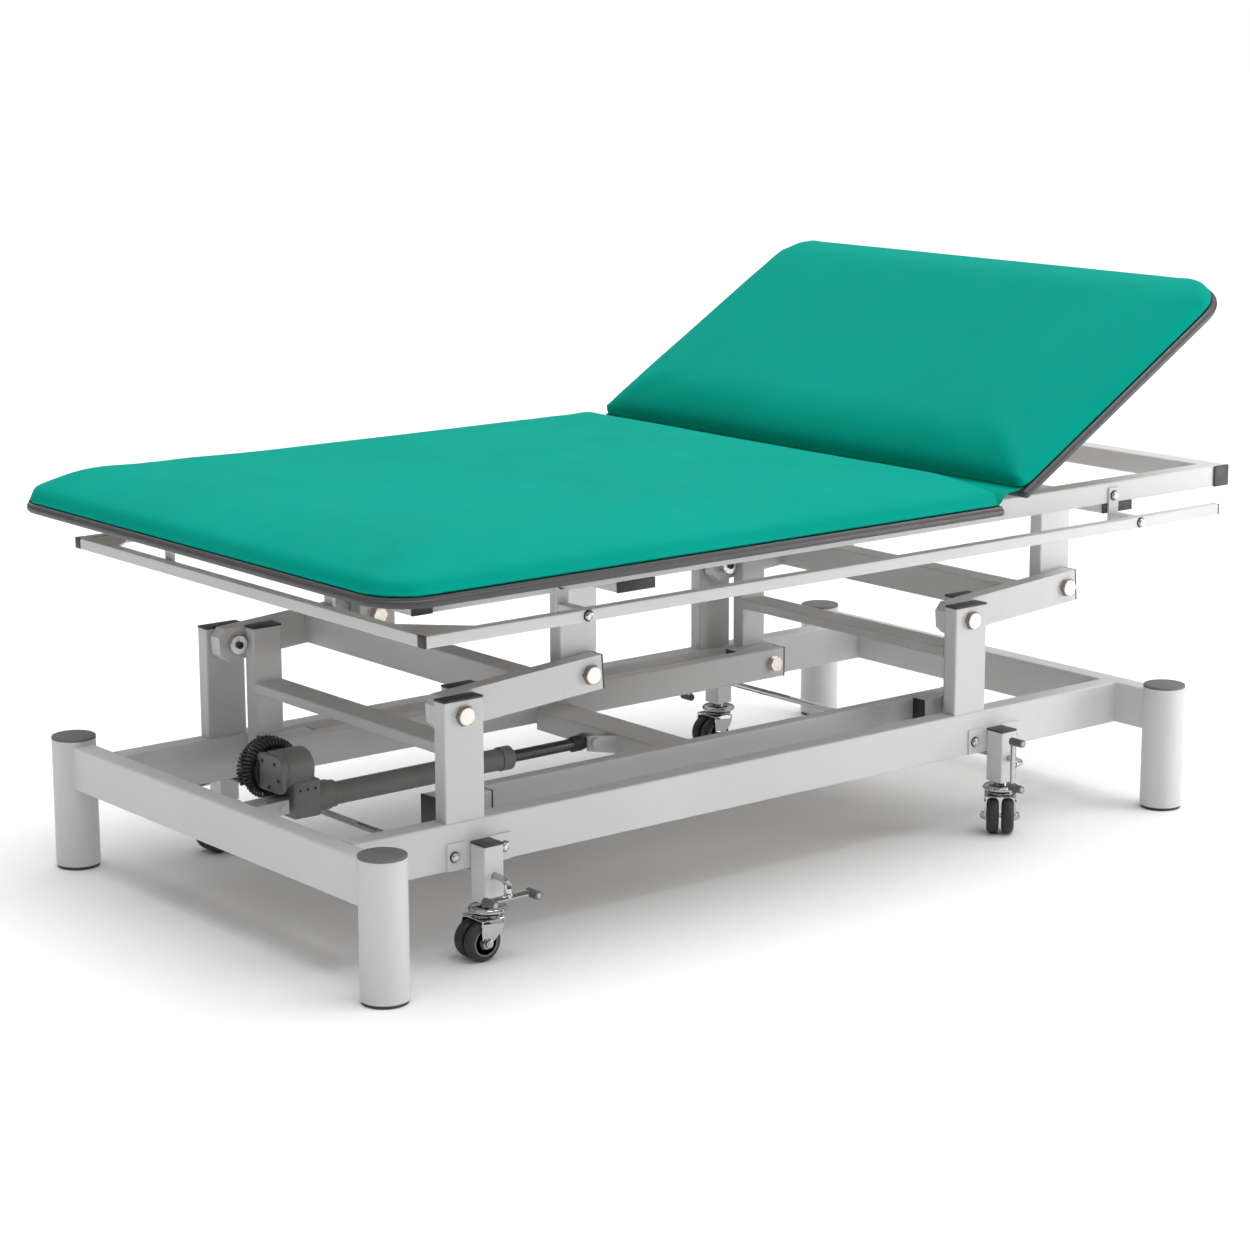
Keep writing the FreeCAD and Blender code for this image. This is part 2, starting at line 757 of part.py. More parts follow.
# Upper frame: side rails between two full-width end cross rails.
frame_y = frame_track / 2
frame_mid_z = frame_top - frame_tube / 2
frame_low = frame_top - frame_tube
frame_inner_x = frame_foot_x + frame_tube
frame_outer_x = frame_head_x - frame_tube
frame_full = frame_track + frame_tube
upper_side = tube(
    "upper_side", "X", frame_outer_x - frame_inner_x, frame_tube, frame_tube, frame_wall,
    (frame_inner_x + frame_outer_x) / 2, -frame_y, frame_mid_z
)
node("upper_side_rails", *both(upper_side))
hinge_rail_x = hinge_x
cross_rails = []
for name, at, long in (
    ("foot", frame_foot_x + frame_tube / 2, frame_full),
    ("hinge", hinge_rail_x, frame_track - frame_tube),
    ("head", frame_head_x - frame_tube / 2, frame_full),
):
    cross_rails.append(
        tube(f"cross_rail_{name}", "Y", long, frame_tube, frame_tube, frame_wall, at, 0.0, frame_mid_z)
    )
node("upper_cross_rails", *cross_rails)

# Hanger cross tubes under the side rails, with a hanging post at each arm tip.
hanger_tubes = []
hanging_posts = []
hanger_reach = frame_full / 2 - cap_thick
upper_bolts = []
upper_caps = []
hang_low = far_pivot_z - hang_foot
hang_high = frame_low - hanger_tall
for end, pivot_x in (("foot", pivot_foot_x), ("head", pivot_head_x)):
    tip_x = pivot_x + far_pivot_x
    hanger_tubes.append(
        tube(
            f"hanger_{end}", "Y", 2 * hanger_reach, post_long, hanger_tall, post_wall,
            tip_x, 0.0, frame_low - hanger_tall / 2
        )
    )
    hang_mid = (hang_low + hang_high) / 2
    hanging = tube(
        f"hanging_post_{end}", "Z", hang_high - hang_low, post_long, post_thick, post_wall,
        tip_x, -hang_y, hang_mid
    )
    bore(
        hanging, f"hanging_post_{end}_bore", bolt_dia + 2 * bolt_fit, 0.0,
        far_pivot_z - hang_mid, 2 * post_thick
    )
    hanging_posts.append(hanging)
    upper_bolts.append(
        pivot_bolt(f"tip_bolt_{end}", tip_x, far_pivot_z, arm_y + arm_thick / 2 + side_gap / 4,
                   hang_y - post_thick / 2)
    )
    upper_caps.append(
        box(
            f"hanger_cap_{end}", post_long, cap_thick, hanger_tall,
            tip_x, -hanger_reach - cap_thick / 2, frame_low - hanger_tall / 2
        )
    )
node("hanger_cross_tubes", *hanger_tubes)
node("hanging_posts", *both(*hanging_posts))
for end, at in (("foot", frame_foot_x + frame_tube / 2), ("head", frame_head_x - frame_tube / 2)):
    upper_caps.append(
        box(
            f"frame_cap_{end}", frame_tube, cap_thick, frame_tube,
            at, -frame_full / 2 - cap_thick / 2, frame_mid_z
        )
    )

# Accessory rails round the foot end and both sides, hung on straps.
track_out = frame_full / 2 + track_stand
track_top = frame_low - track_drop
track_y = track_out - track_tube / 2
track_z = track_top - track_tube / 2
track_side = tube(
    "track_side", "X", track_head_x - track_foot_x - 2 * cap_thick, track_tube, track_tube,
    track_wall, (track_head_x + track_foot_x) / 2, -track_y, track_z, radius=track_wall
)
node("accessory_side_rails", *both(track_side))
for end, at in (("foot", track_foot_x + cap_thick / 2), ("head", track_head_x - cap_thick / 2)):
    upper_caps.append(
        box(f"track_cap_{end}", cap_thick, track_tube, track_tube, at, -track_y, track_z)
    )
node("upper_caps", *both(*upper_caps))
track_inner_y = track_out - track_tube
foot_track = tube(
    "foot_track", "Y", 2 * track_inner_y, track_tube, track_tube, track_wall,
    track_foot_x + track_tube / 2, 0.0, track_z, radius=track_wall
)
gusset = add("PartDesign::Body", "track_gusset")
gusset_face = sketch(gusset, "track_gusset_face", "XY_Plane")
polygon(gusset_face, [(0.0, 0.0), (gusset_leg, 0.0), (0.0, gusset_leg)])
pad(gusset, "track_gusset_plate", gusset_face, gusset_thick)
place(gusset, track_foot_x + track_tube, -track_inner_y, track_top - gusset_thick / 2 - track_wall)
node("accessory_foot_rail", foot_track, *both(gusset))

strap_parts = []
frame_outer_y = frame_full / 2
for end, at in (("foot", strap_foot_x), ("head", strap_head_x)):
    strap_tall = frame_top - frame_tube / 4 - (track_top - track_tube)
    strap_parts.append(
        box(
            f"strap_{end}", strap_wide, strap_thick, strap_tall, at,
            -frame_outer_y - strap_thick / 2, track_top - track_tube + strap_tall / 2
        )
    )
    strap_parts.append(
        tube(
            f"carrier_{end}", "Y", track_inner_y - frame_outer_y - strap_thick, track_tube,
            track_tube, track_wall, at, -(track_inner_y + frame_outer_y + strap_thick) / 2,
            track_z, radius=track_wall
        )
    )
    for level, high in (("top", frame_low + strap_screw_rise), ("low", track_z)):
        reach = frame_outer_y + strap_thick if level == "top" else track_out
        upper_bolts.append(
            hexagon(f"strap_screw_{end}_{level}", screw_flats, 5.0, at, -reach, high, -1)
        )
end_strap_long = frame_foot_x - track_foot_x - track_tube
end_strap_tall = frame_top - frame_tube / 4 - (track_top - track_tube)
strap_parts.append(
    box(
        "strap_end", end_strap_long, strap_wide, end_strap_tall,
        frame_foot_x - end_strap_long / 2, -end_strap_y,
        track_top - track_tube + end_strap_tall / 2
    )
)
node("accessory_straps", *both(*strap_parts))
node("upper_bolts", *both(*upper_bolts))


def slab(name, start, stop, half, low, tall, radius, rounded, turn=None):
    """Flat plate over the deck outline; rounded names the ends with round corners."""
    made = add("PartDesign::Body", name)
    face = sketch(made, f"{name}_face", "XY_Plane")
    polygon(face, [(start, -half), (stop, -half), (stop, half), (start, half)])
    plate = pad(made, f"{name}_plate", face, tall)
    doc.recompute()
    names = []
    for number, edge in enumerate(plate.Shape.Edges, 1):
        middle = edge.CenterOfMass
        upright = abs(middle.z) < 1e-6 and edge.Length < float(tall) + 1e-6
        at_start = abs(middle.x - float(start)) < 1e-6 and "start" in rounded
        at_stop = abs(middle.x - float(stop)) < 1e-6 and "stop" in rounded
        if upright and abs(abs(middle.y) - float(half)) < 1e-6 and (at_start or at_stop):
            names.append(f"Edge{number}")
    if names:
        bend = made.newObject("PartDesign::Fillet", f"{name}_corners")
        bend.Base = (plate, names)
        bind(bend, "Radius", radius)
    place(made, 0.0, 0.0, low + tall / 2)
    return made


def soften(name, base, radius, tall):
    """Round the top edges of a cushion."""
    doc.recompute()
    top = base.Shape.BoundBox.ZMax
    names = [
        f"Edge{number}"
        for number, edge in enumerate(base.Shape.Edges, 1)
        if abs(edge.BoundBox.ZMin - top) < 1e-4
    ]
    made = add("Part::Fillet", name)
    made.Base = base
    made.Edges = [(int(item[4:]), float(radius), float(radius)) for item in names]
    return made


def deck_section(name, start, stop, rounded, low, turn=None):
    """Board, edge band and cushion of one deck section, placed by one turn."""
    inner = deck_half - trim_thick
    inner_start = start + trim_thick
    inner_stop = stop - trim_thick
    inner_corner = deck_corner - trim_thick
    board = slab(
        f"{name}_board_slab", inner_start, inner_stop, inner, low, board_thick, inner_corner, rounded
    )
    band_out = slab(f"{name}_band_out", start, stop, deck_half, low, board_thick, deck_corner, rounded)
    band_in = slab(
        f"{name}_band_in", inner_start, inner_stop, inner, low - 5, board_thick + 10, inner_corner,
        rounded
    )
    band = cut(f"{name}_band", band_out, band_in)
    pad_start = start + cushion_inset
    pad_stop = stop - cushion_inset
    filling = slab(
        f"{name}_filling", pad_start, pad_stop, deck_half - cushion_inset,
        low + board_thick + soft_gap, cushion_tall, deck_corner - cushion_inset, rounded
    )
    cushion = soften(f"{name}_soft", filling, cushion_round, cushion_tall)
    members = []
    for label, piece in ((f"{name}_board", board), (f"{name}_edge_trim", band), (f"{name}_cushion", cushion)):
        if turn is None:
            members.append(node(label, piece))
        else:
            members.append(node(label, turned(f"{label}_raised", piece)))
    return members


def turned(name, *pieces):
    """Pieces drawn flat in the hinge's own frame, lifted to the head section's angle."""
    made = add("Part::Compound", name)
    made.Links = list(pieces)
    return place(made, hinge_x, 0.0, hinge_z, (0, 1, 0), -head_rise)


deck_low = frame_top + soft_gap
deck_section("foot", deck_foot_x, deck_break_x, ("start",), deck_low)
head_low = deck_low - hinge_z
deck_section("head", head_gap, head_gap + head_long, ("stop",), head_low, turn=head_rise)

# Hinge brackets on the hinge rail, each with a pin between two cheeks.
bracket_parts = []
bracket_wide = hinge_eye
cheek_gap = hinge_plate / 2 + side_gap / 4
for side in (-1, 1):
    bracket_parts.append(
        box(
            f"hinge_cheek_{'outer' if side < 0 else 'inner'}", bracket_wide, hinge_plate,
            hinge_z + bracket_wide / 2 - frame_top, hinge_x,
            -hinge_y + side * (cheek_gap + hinge_plate / 2),
            (hinge_z + bracket_wide / 2 + frame_top) / 2
        )
    )
pin_long = 2 * (cheek_gap + hinge_plate) + 6
hinge_bolt = rod("hinge_bolt", hinge_pin, pin_long, hinge_x, -hinge_y - pin_long / 2, hinge_z, "Y")
hinge_fork = fuse("hinge_fork", *bracket_parts, hinge_bolt)

# Stay bracket on the hinge rail's head-side face.
stay_base_x = hinge_x + stay_base_out
stay_base_z = hinge_z - stay_base_drop
stay_cheek_y = stay_eye_wide / 2 + stay_gap / 2 + hinge_plate / 2
stay_cheeks = []
for side in (-1, 1):
    lug = add("PartDesign::Body", f"stay_lug_{'near' if side < 0 else 'far'}")
    lug_side = sketch(lug, f"{lug.Name}_side", "XZ_Plane")
    rail_face = hinge_x + frame_tube / 2
    polygon(
        lug_side,
        [
            (rail_face, frame_low + corner),
            (stay_base_x + stay_eye / 2, stay_base_z - stay_eye / 2),
            (stay_base_x + stay_eye / 2, stay_base_z + stay_eye / 2),
            (rail_face, frame_top - corner),
        ],
    )
    pad(lug, f"{lug.Name}_plate", lug_side, hinge_plate)
    place(lug, 0.0, side * stay_cheek_y, 0.0)
    stay_cheeks.append(lug)
stay_bolt_half = stay_cheek_y + hinge_plate / 2 + 4
stay_bolt = rod(
    "stay_bolt", stay_pin, 2 * stay_bolt_half, stay_base_x, -stay_bolt_half, stay_base_z, "Y"
)
stay_fork = fuse("stay_fork", *stay_cheeks, stay_bolt)
node("hinge_brackets", *both(hinge_fork), stay_fork)

# Hinge straps under the head board: an eye on the pin, a neck and a long flat leg.
strap = add("PartDesign::Body", "hinge_strap")
strap_side = sketch(strap, "hinge_strap_side", "XZ_Plane")
under = head_low
polygon(
    strap_side,
    [
        (-hinge_eye / 2, -hinge_eye / 2),
        (head_gap - hinge_eye, under + 4),
        (head_gap - 4, under - 14),
        (head_gap + hinge_strap_long, under - 14),
        (head_gap + hinge_strap_long, under),
        (head_gap - soft_gap, under),
        (head_gap - 6, under + 8),
        (hinge_eye / 2, hinge_eye / 2),
        (-hinge_eye / 2, hinge_eye / 2),
    ],
)
pad(strap, "hinge_strap_plate", strap_side, hinge_plate)
bore(strap, "hinge_strap_bore", hinge_pin + 2 * bolt_fit, 0.0, 0.0, 2 * hinge_plate)
place(strap, 0.0, -hinge_y, 0.0)
board_cheek_y = stay_eye_wide / 2 + stay_gap + hinge_plate / 2
board_cheek = box(
    "board_cheek", 2 * stay_eye, hinge_plate, stay_low + stay_eye / 2 + under,
    stay_far, -board_cheek_y, (under - stay_low - stay_eye / 2) / 2
)
board_stub = hexagon(
    "board_stub", screw_flats, 5.0, stay_far, -board_cheek_y - hinge_plate / 2, -stay_low, -1
)
strap_far = mirror("hinge_strap_far", strap)
cheek_far = mirror("board_cheek_far", board_cheek)
stub_far = mirror("board_stub_far", board_stub)
node(
    "head_hinge_straps",
    turned("hinge_straps_raised", strap, strap_far, board_cheek, cheek_far, board_stub, stub_far)
)

# Gas stay: drawn along +X from its base pivot, then turned to its rest angle.
raised = math.radians(head_rise)
stay_top_x = hinge_x + stay_far * math.cos(raised) + stay_low * math.sin(raised)
stay_top_z = hinge_z + stay_far * math.sin(raised) - stay_low * math.cos(raised)
stay_run = math.hypot(stay_top_x - stay_base_x, stay_top_z - stay_base_z)
stay_angle = math.degrees(math.atan2(stay_top_z - stay_base_z, stay_top_x - stay_base_x))
stay_turn = (stay_base_x, 0.0, stay_base_z, (0, 1, 0), -stay_angle)
sleeve = add("PartDesign::Body", "stay_sleeve_body")
sleeve_section = sketch(sleeve, "stay_sleeve_section", "XZ_Plane")
inner_radius = stay_rod / 2 + rod_fit
polygon(
    sleeve_section,
    [
        (stay_eye / 2 - 2, 0.0),
        (stay_eye / 2 - 2, stay_eye_wide / 2),
        (stay_eye / 2 + 6, stay_eye_wide / 2),
        (stay_eye / 2 + 14, stay_tube / 2),
        (stay_sleeve - 4, stay_tube / 2),
        (stay_sleeve, stay_tube / 2 - 4),
        (stay_sleeve, inner_radius),
        (stay_eye / 2 + 18, inner_radius),
        (stay_eye / 2 + 18, 0.0),
    ],
)
turn_feature = sleeve.newObject("PartDesign::Revolution", "stay_sleeve_turned")
turn_feature.Profile = sleeve_section
turn_feature.ReferenceAxis = (sleeve_section, ["H_Axis"])
turn_feature.Angle = 360.0
sleeve_eye = rod("stay_sleeve_eye", stay_eye, stay_eye_wide, 0.0, -stay_eye_wide / 2, 0.0, "Y")
sleeve_hole = rod(
    "stay_sleeve_hole", stay_pin + 2 * pin_fit, 2 * stay_eye_wide, 0.0, -stay_eye_wide, 0.0, "Y"
)
sleeve_whole = cut("stay_cylinder_bored", fuse("stay_cylinder_whole", sleeve, sleeve_eye), sleeve_hole)
cylinder_turned = add("Part::Compound", "stay_cylinder_turned")
cylinder_turned.Links = [sleeve_whole]
node("stay_cylinder", place(cylinder_turned, *stay_turn))
plunger = rod(
    "stay_plunger", stay_rod, stay_run - stay_sleeve / 2 - stay_eye / 2 + 2, stay_sleeve / 2,
    0.0, 0.0, "X"
)
plunger_eye = rod("stay_plunger_eye", stay_eye, stay_eye_wide, stay_run, -stay_eye_wide / 2, 0.0, "Y")
plunger_hole = rod(
    "stay_plunger_hole", stay_pin + 2 * pin_fit, 2 * stay_eye_wide, stay_run, -stay_eye_wide, 0.0, "Y"
)
plunger_whole = cut("stay_plunger_bored", fuse("stay_plunger_whole", plunger, plunger_eye), plunger_hole)
plunger_turned = add("Part::Compound", "stay_plunger_turned")
plunger_turned.Links = [plunger_whole]
node("stay_rod", place(plunger_turned, *stay_turn))

# Actuator bracket: two lugs on the foot end rail with the rear pivot pin.
rail_face_x = leg_foot_x + rail_wide / 2
lugs = []
lug_y = lug_half + side_gap / 2 + lug_thick / 2
for side in (-1, 1):
    lug = add("PartDesign::Body", f"motor_lug_{'near' if side < 0 else 'far'}")
    lug_side = sketch(lug, f"{lug.Name}_side", "XZ_Plane")
    polygon(
        lug_side,
        [
            (rail_face_x, motor_pivot_z - lug_tall / 2),
            (motor_pivot_x + pin_dia, motor_pivot_z - pin_dia),
            (motor_pivot_x + pin_dia, motor_pivot_z + pin_dia),
            (rail_face_x, motor_pivot_z + lug_tall / 2 - pin_dia),
        ],
    )
    pad(lug, f"{lug.Name}_plate", lug_side, lug_thick)
    place(lug, 0.0, side * lug_y, 0.0)
    lugs.append(lug)
lug_web = box(
    "motor_lug_web", motor_pivot_x - pin_dia - 2 * eye_dia / 2 - rail_face_x, 2 * lug_y, lug_thick,
    (motor_pivot_x - pin_dia - eye_dia + rail_face_x) / 2, 0.0, motor_pivot_z - pin_dia
)
pin_half = lug_y + lug_thick / 2 + 5
motor_pin = rod("motor_pin", pin_dia, 2 * pin_half, motor_pivot_x, -pin_half, motor_pivot_z, "Y")
node("actuator_bracket", fuse("motor_bracket", *lugs, lug_web, motor_pin))

# Gearbox: a block between the drive line and the motor line, with the rear eye and sockets.
gear_start = motor_pivot_x + eye_dia
gear_stop = gear_start + gear_long
motor_z = motor_pivot_z + motor_lift
gear_low = motor_pivot_z - gear_wide / 2
gear_high = motor_z - motor_dia / 2 + 4
gearbox = add("PartDesign::Body", "gearbox_block")
gear_side = sketch(gearbox, "gearbox_side", "XZ_Plane")
polygon(
    gear_side,
    [
        (gear_start, gear_low + 6),
        (gear_start + 6, gear_low),
        (gear_stop + 18, gear_low),
        (tube_start + motor_pivot_x, gear_low + 8),
        (tube_start + motor_pivot_x, gear_high + 14),
        (gear_stop + 6, gear_high + 24),
        (gear_stop, gear_high),
        (gear_start, gear_high),
    ],
)
gear_bar = pad(gearbox, "gearbox_pad", gear_side, gear_wide)
round_edges(gearbox, "gearbox_edges", gear_bar, "X", 6.0)
rear_arm = box("gearbox_rear_arm", eye_dia + 4, eye_wide, eye_wide, motor_pivot_x + eye_dia / 2 + 2,
               0.0, motor_pivot_z)
rear_eye = rod("gearbox_rear_eye", rear_eye_dia, eye_wide, motor_pivot_x, -eye_wide / 2, motor_pivot_z, "Y")
rear_hole = rod(
    "gearbox_rear_hole", pin_dia + 2 * pin_fit, 2 * eye_wide, motor_pivot_x, -eye_wide,
    motor_pivot_z, "Y"
)
sockets = [
    rod(
        f"gearbox_socket_{number}", 13.0, 8.0, gear_start + 12 + 17 * number,
        -gear_wide / 2 - 5, motor_pivot_z - 6, "Y"
    )
    for number in range(3)
]
gear_whole = cut("gearbox_bored", fuse("gearbox_whole", gearbox, rear_arm, rear_eye, *sockets), rear_hole)
node("actuator_gearbox", gear_whole)

# Motor: a drum above the gearbox, its axis along X, with a domed rear plate and five screws.
motor = add("PartDesign::Body", "motor_drum")
motor_half = sketch(motor, "motor_drum_half", "XZ_Plane")
motor_radius = motor_dia / 2
polygon(
    motor_half,
    [
        (0.0, 0.0),
        (0.0, motor_radius - 4),
        (4.0, motor_radius),
        (motor_long - 3, motor_radius),
        (motor_long, motor_radius - 3),
        (motor_long, 0.0),
    ],
)
motor_turn = motor.newObject("PartDesign::Revolution", "motor_drum_turned")
motor_turn.Profile = motor_half
motor_turn.ReferenceAxis = (motor_half, ["H_Axis"])
motor_turn.Angle = 360.0
motor_x = motor_pivot_x - motor_back
place(motor, motor_x, 0.0, motor_z)
motor_screws = [
    rod(
        f"motor_screw_{number}", 6.0, 3.0, motor_x - 2.5,
        (motor_radius - 9) * math.sin(math.radians(72.0 * number)),
        motor_z + (motor_radius - 9) * math.cos(math.radians(72.0 * number)), "X"
    )
    for number in range(5)
]
motor_whole = fuse("motor_whole", motor, *motor_screws)
motor_seat = cut("motor_seated", motor_whole, gear_whole)
node("actuator_motor", motor_seat)

# Motor cable: one closed ring of the outer shape of the turns wound round the drum.
cable = add("PartDesign::Body", "cable_ring")
cable_half = sketch(cable, "cable_ring_half", "XZ_Plane")
ring_low = motor_radius + soft_gap
ring_high = ring_low + cable_dia
ring_long = 2 * cable_dia
polygon(
    cable_half,
    [
        (0.0, ring_low + 3),
        (3.0, ring_low),
        (ring_long - 3, ring_low),
        (ring_long, ring_low + 3),
        (ring_long, ring_high - 4),
        (ring_long - 4, ring_high),
        (4.0, ring_high),
        (0.0, ring_high - 4),
    ],
)
cable_turn = cable.newObject("PartDesign::Revolution", "cable_ring_turned")
cable_turn.Profile = cable_half
cable_turn.ReferenceAxis = (cable_half, ["H_Axis"])
cable_turn.Angle = 360.0
place(cable, motor_x + 6, 0.0, motor_z)
node("motor_cable", cable)

# Outer tube with its collar, and the rod with its eye, both on the line between the pivots.
line_x = rod_end_x - motor_pivot_x
line_z = rod_end_z - motor_pivot_z
line_run = math.hypot(line_x, line_z)
line_turn = (motor_pivot_x, 0.0, motor_pivot_z, (0, 1, 0), -math.degrees(math.atan2(line_z, line_x)))
outer = add("PartDesign::Body", "outer_tube_body")
outer_half = sketch(outer, "outer_tube_half", "XZ_Plane")
bore_radius = rod_dia / 2 + rod_fit
polygon(
    outer_half,
    [
        (tube_start + soft_gap, bore_radius + 4),
        (tube_start + soft_gap, outer_tube / 2),
        (tube_end, outer_tube / 2),
        (tube_end, collar_dia / 2),
        (tube_end + collar_long - 3, collar_dia / 2),
        (tube_end + collar_long, collar_dia / 2 - 3),
        (tube_end + collar_long, bore_radius),
        (tube_end - 10, bore_radius),
        (tube_end - 10, outer_tube / 2 - outer_wall),
        (tube_start + 12, outer_tube / 2 - outer_wall),
        (tube_start + 12, bore_radius + 4),
    ],
)
outer_turn = outer.newObject("PartDesign::Revolution", "outer_tube_turned")
outer_turn.Profile = outer_half
outer_turn.ReferenceAxis = (outer_half, ["H_Axis"])
outer_turn.Angle = 360.0
outer_line = add("Part::Compound", "outer_tube_line")
outer_line.Links = [outer]
node("actuator_tube", place(outer_line, *line_turn))
piston = rod(
    "piston_rod", rod_dia, line_run - eye_dia / 2 + 3 - (tube_end - rod_inside), tube_end - rod_inside,
    0.0, 0.0, "X"
)
piston_neck = rod("piston_neck", eye_wide, 22.0, line_run - eye_dia / 2 - 30, 0.0, 0.0, "X")
piston_eye = rod("piston_eye", eye_dia, eye_wide, line_run, -eye_wide / 2, 0.0, "Y")
piston_hole = rod(
    "piston_hole", pin_dia + 2 * pin_fit, 2 * eye_wide, line_run, -eye_wide, 0.0, "Y"
)
piston_whole = cut("piston_bored", fuse("piston_whole", piston, piston_neck, piston_eye), piston_hole)
piston_line = add("Part::Compound", "piston_line")
piston_line.Links = [piston_whole]
node("actuator_rod", place(piston_line, *line_turn))

# Castor sockets on plates against the side rails, with a cap, screws and the pedal bore.
socket_y = rail_y + rail_wide / 2 + plate_thick + socket_side / 2
socket_long = socket_top - socket_base
socket_parts = []
socket_caps = []
base_bolts = []
plate_y = rail_y + rail_wide / 2 + plate_thick / 2
plate_z = rail_base + plate_tall / 2 + 1
for end, castor_x in (("foot", castor_foot_x), ("head", castor_foot_x + castor_pitch)):
    socket = tube(
        f"socket_{end}", "Z", socket_long, socket_side, socket_side, socket_wall,
        castor_x, -socket_y, socket_base + socket_long / 2
    )
    bore(
        socket, f"socket_{end}_bore", pedal_rod + 2 * pedal_fit, 0.0,
        pedal_z - socket_base - socket_long / 2, 2 * socket_side
    )
    socket_parts.append(socket)
    socket_parts.append(
        box(f"socket_plate_{end}", plate_long, plate_thick, plate_tall, castor_x, -plate_y, plate_z)
    )
    socket_caps.append(
        box(
            f"socket_cap_{end}", socket_side, socket_side, cap_thick, castor_x, -socket_y,
            socket_top + cap_thick / 2
        )
    )
    for side in (-1, 1):
        base_bolts.append(
            hexagon(
                f"plate_screw_{end}_{'a' if side < 0 else 'b'}", screw_flats, 5.5,
                castor_x + side * (plate_long / 2 - 14), -plate_y - plate_thick / 2, plate_z, -1
            )
        )
for end, pivot_x in (("foot", pivot_foot_x), ("head", pivot_head_x)):
    base_bolts.append(
        pivot_bolt(f"base_bolt_{end}", pivot_x, pivot_z, post_y + post_thick / 2,
                   arm_y - arm_thick / 2 - side_gap / 4)
    )
node("castor_sockets", *both(*socket_parts))
node("base_caps", *both(*post_caps, *socket_caps))
node("base_bolts", *both(*base_bolts))

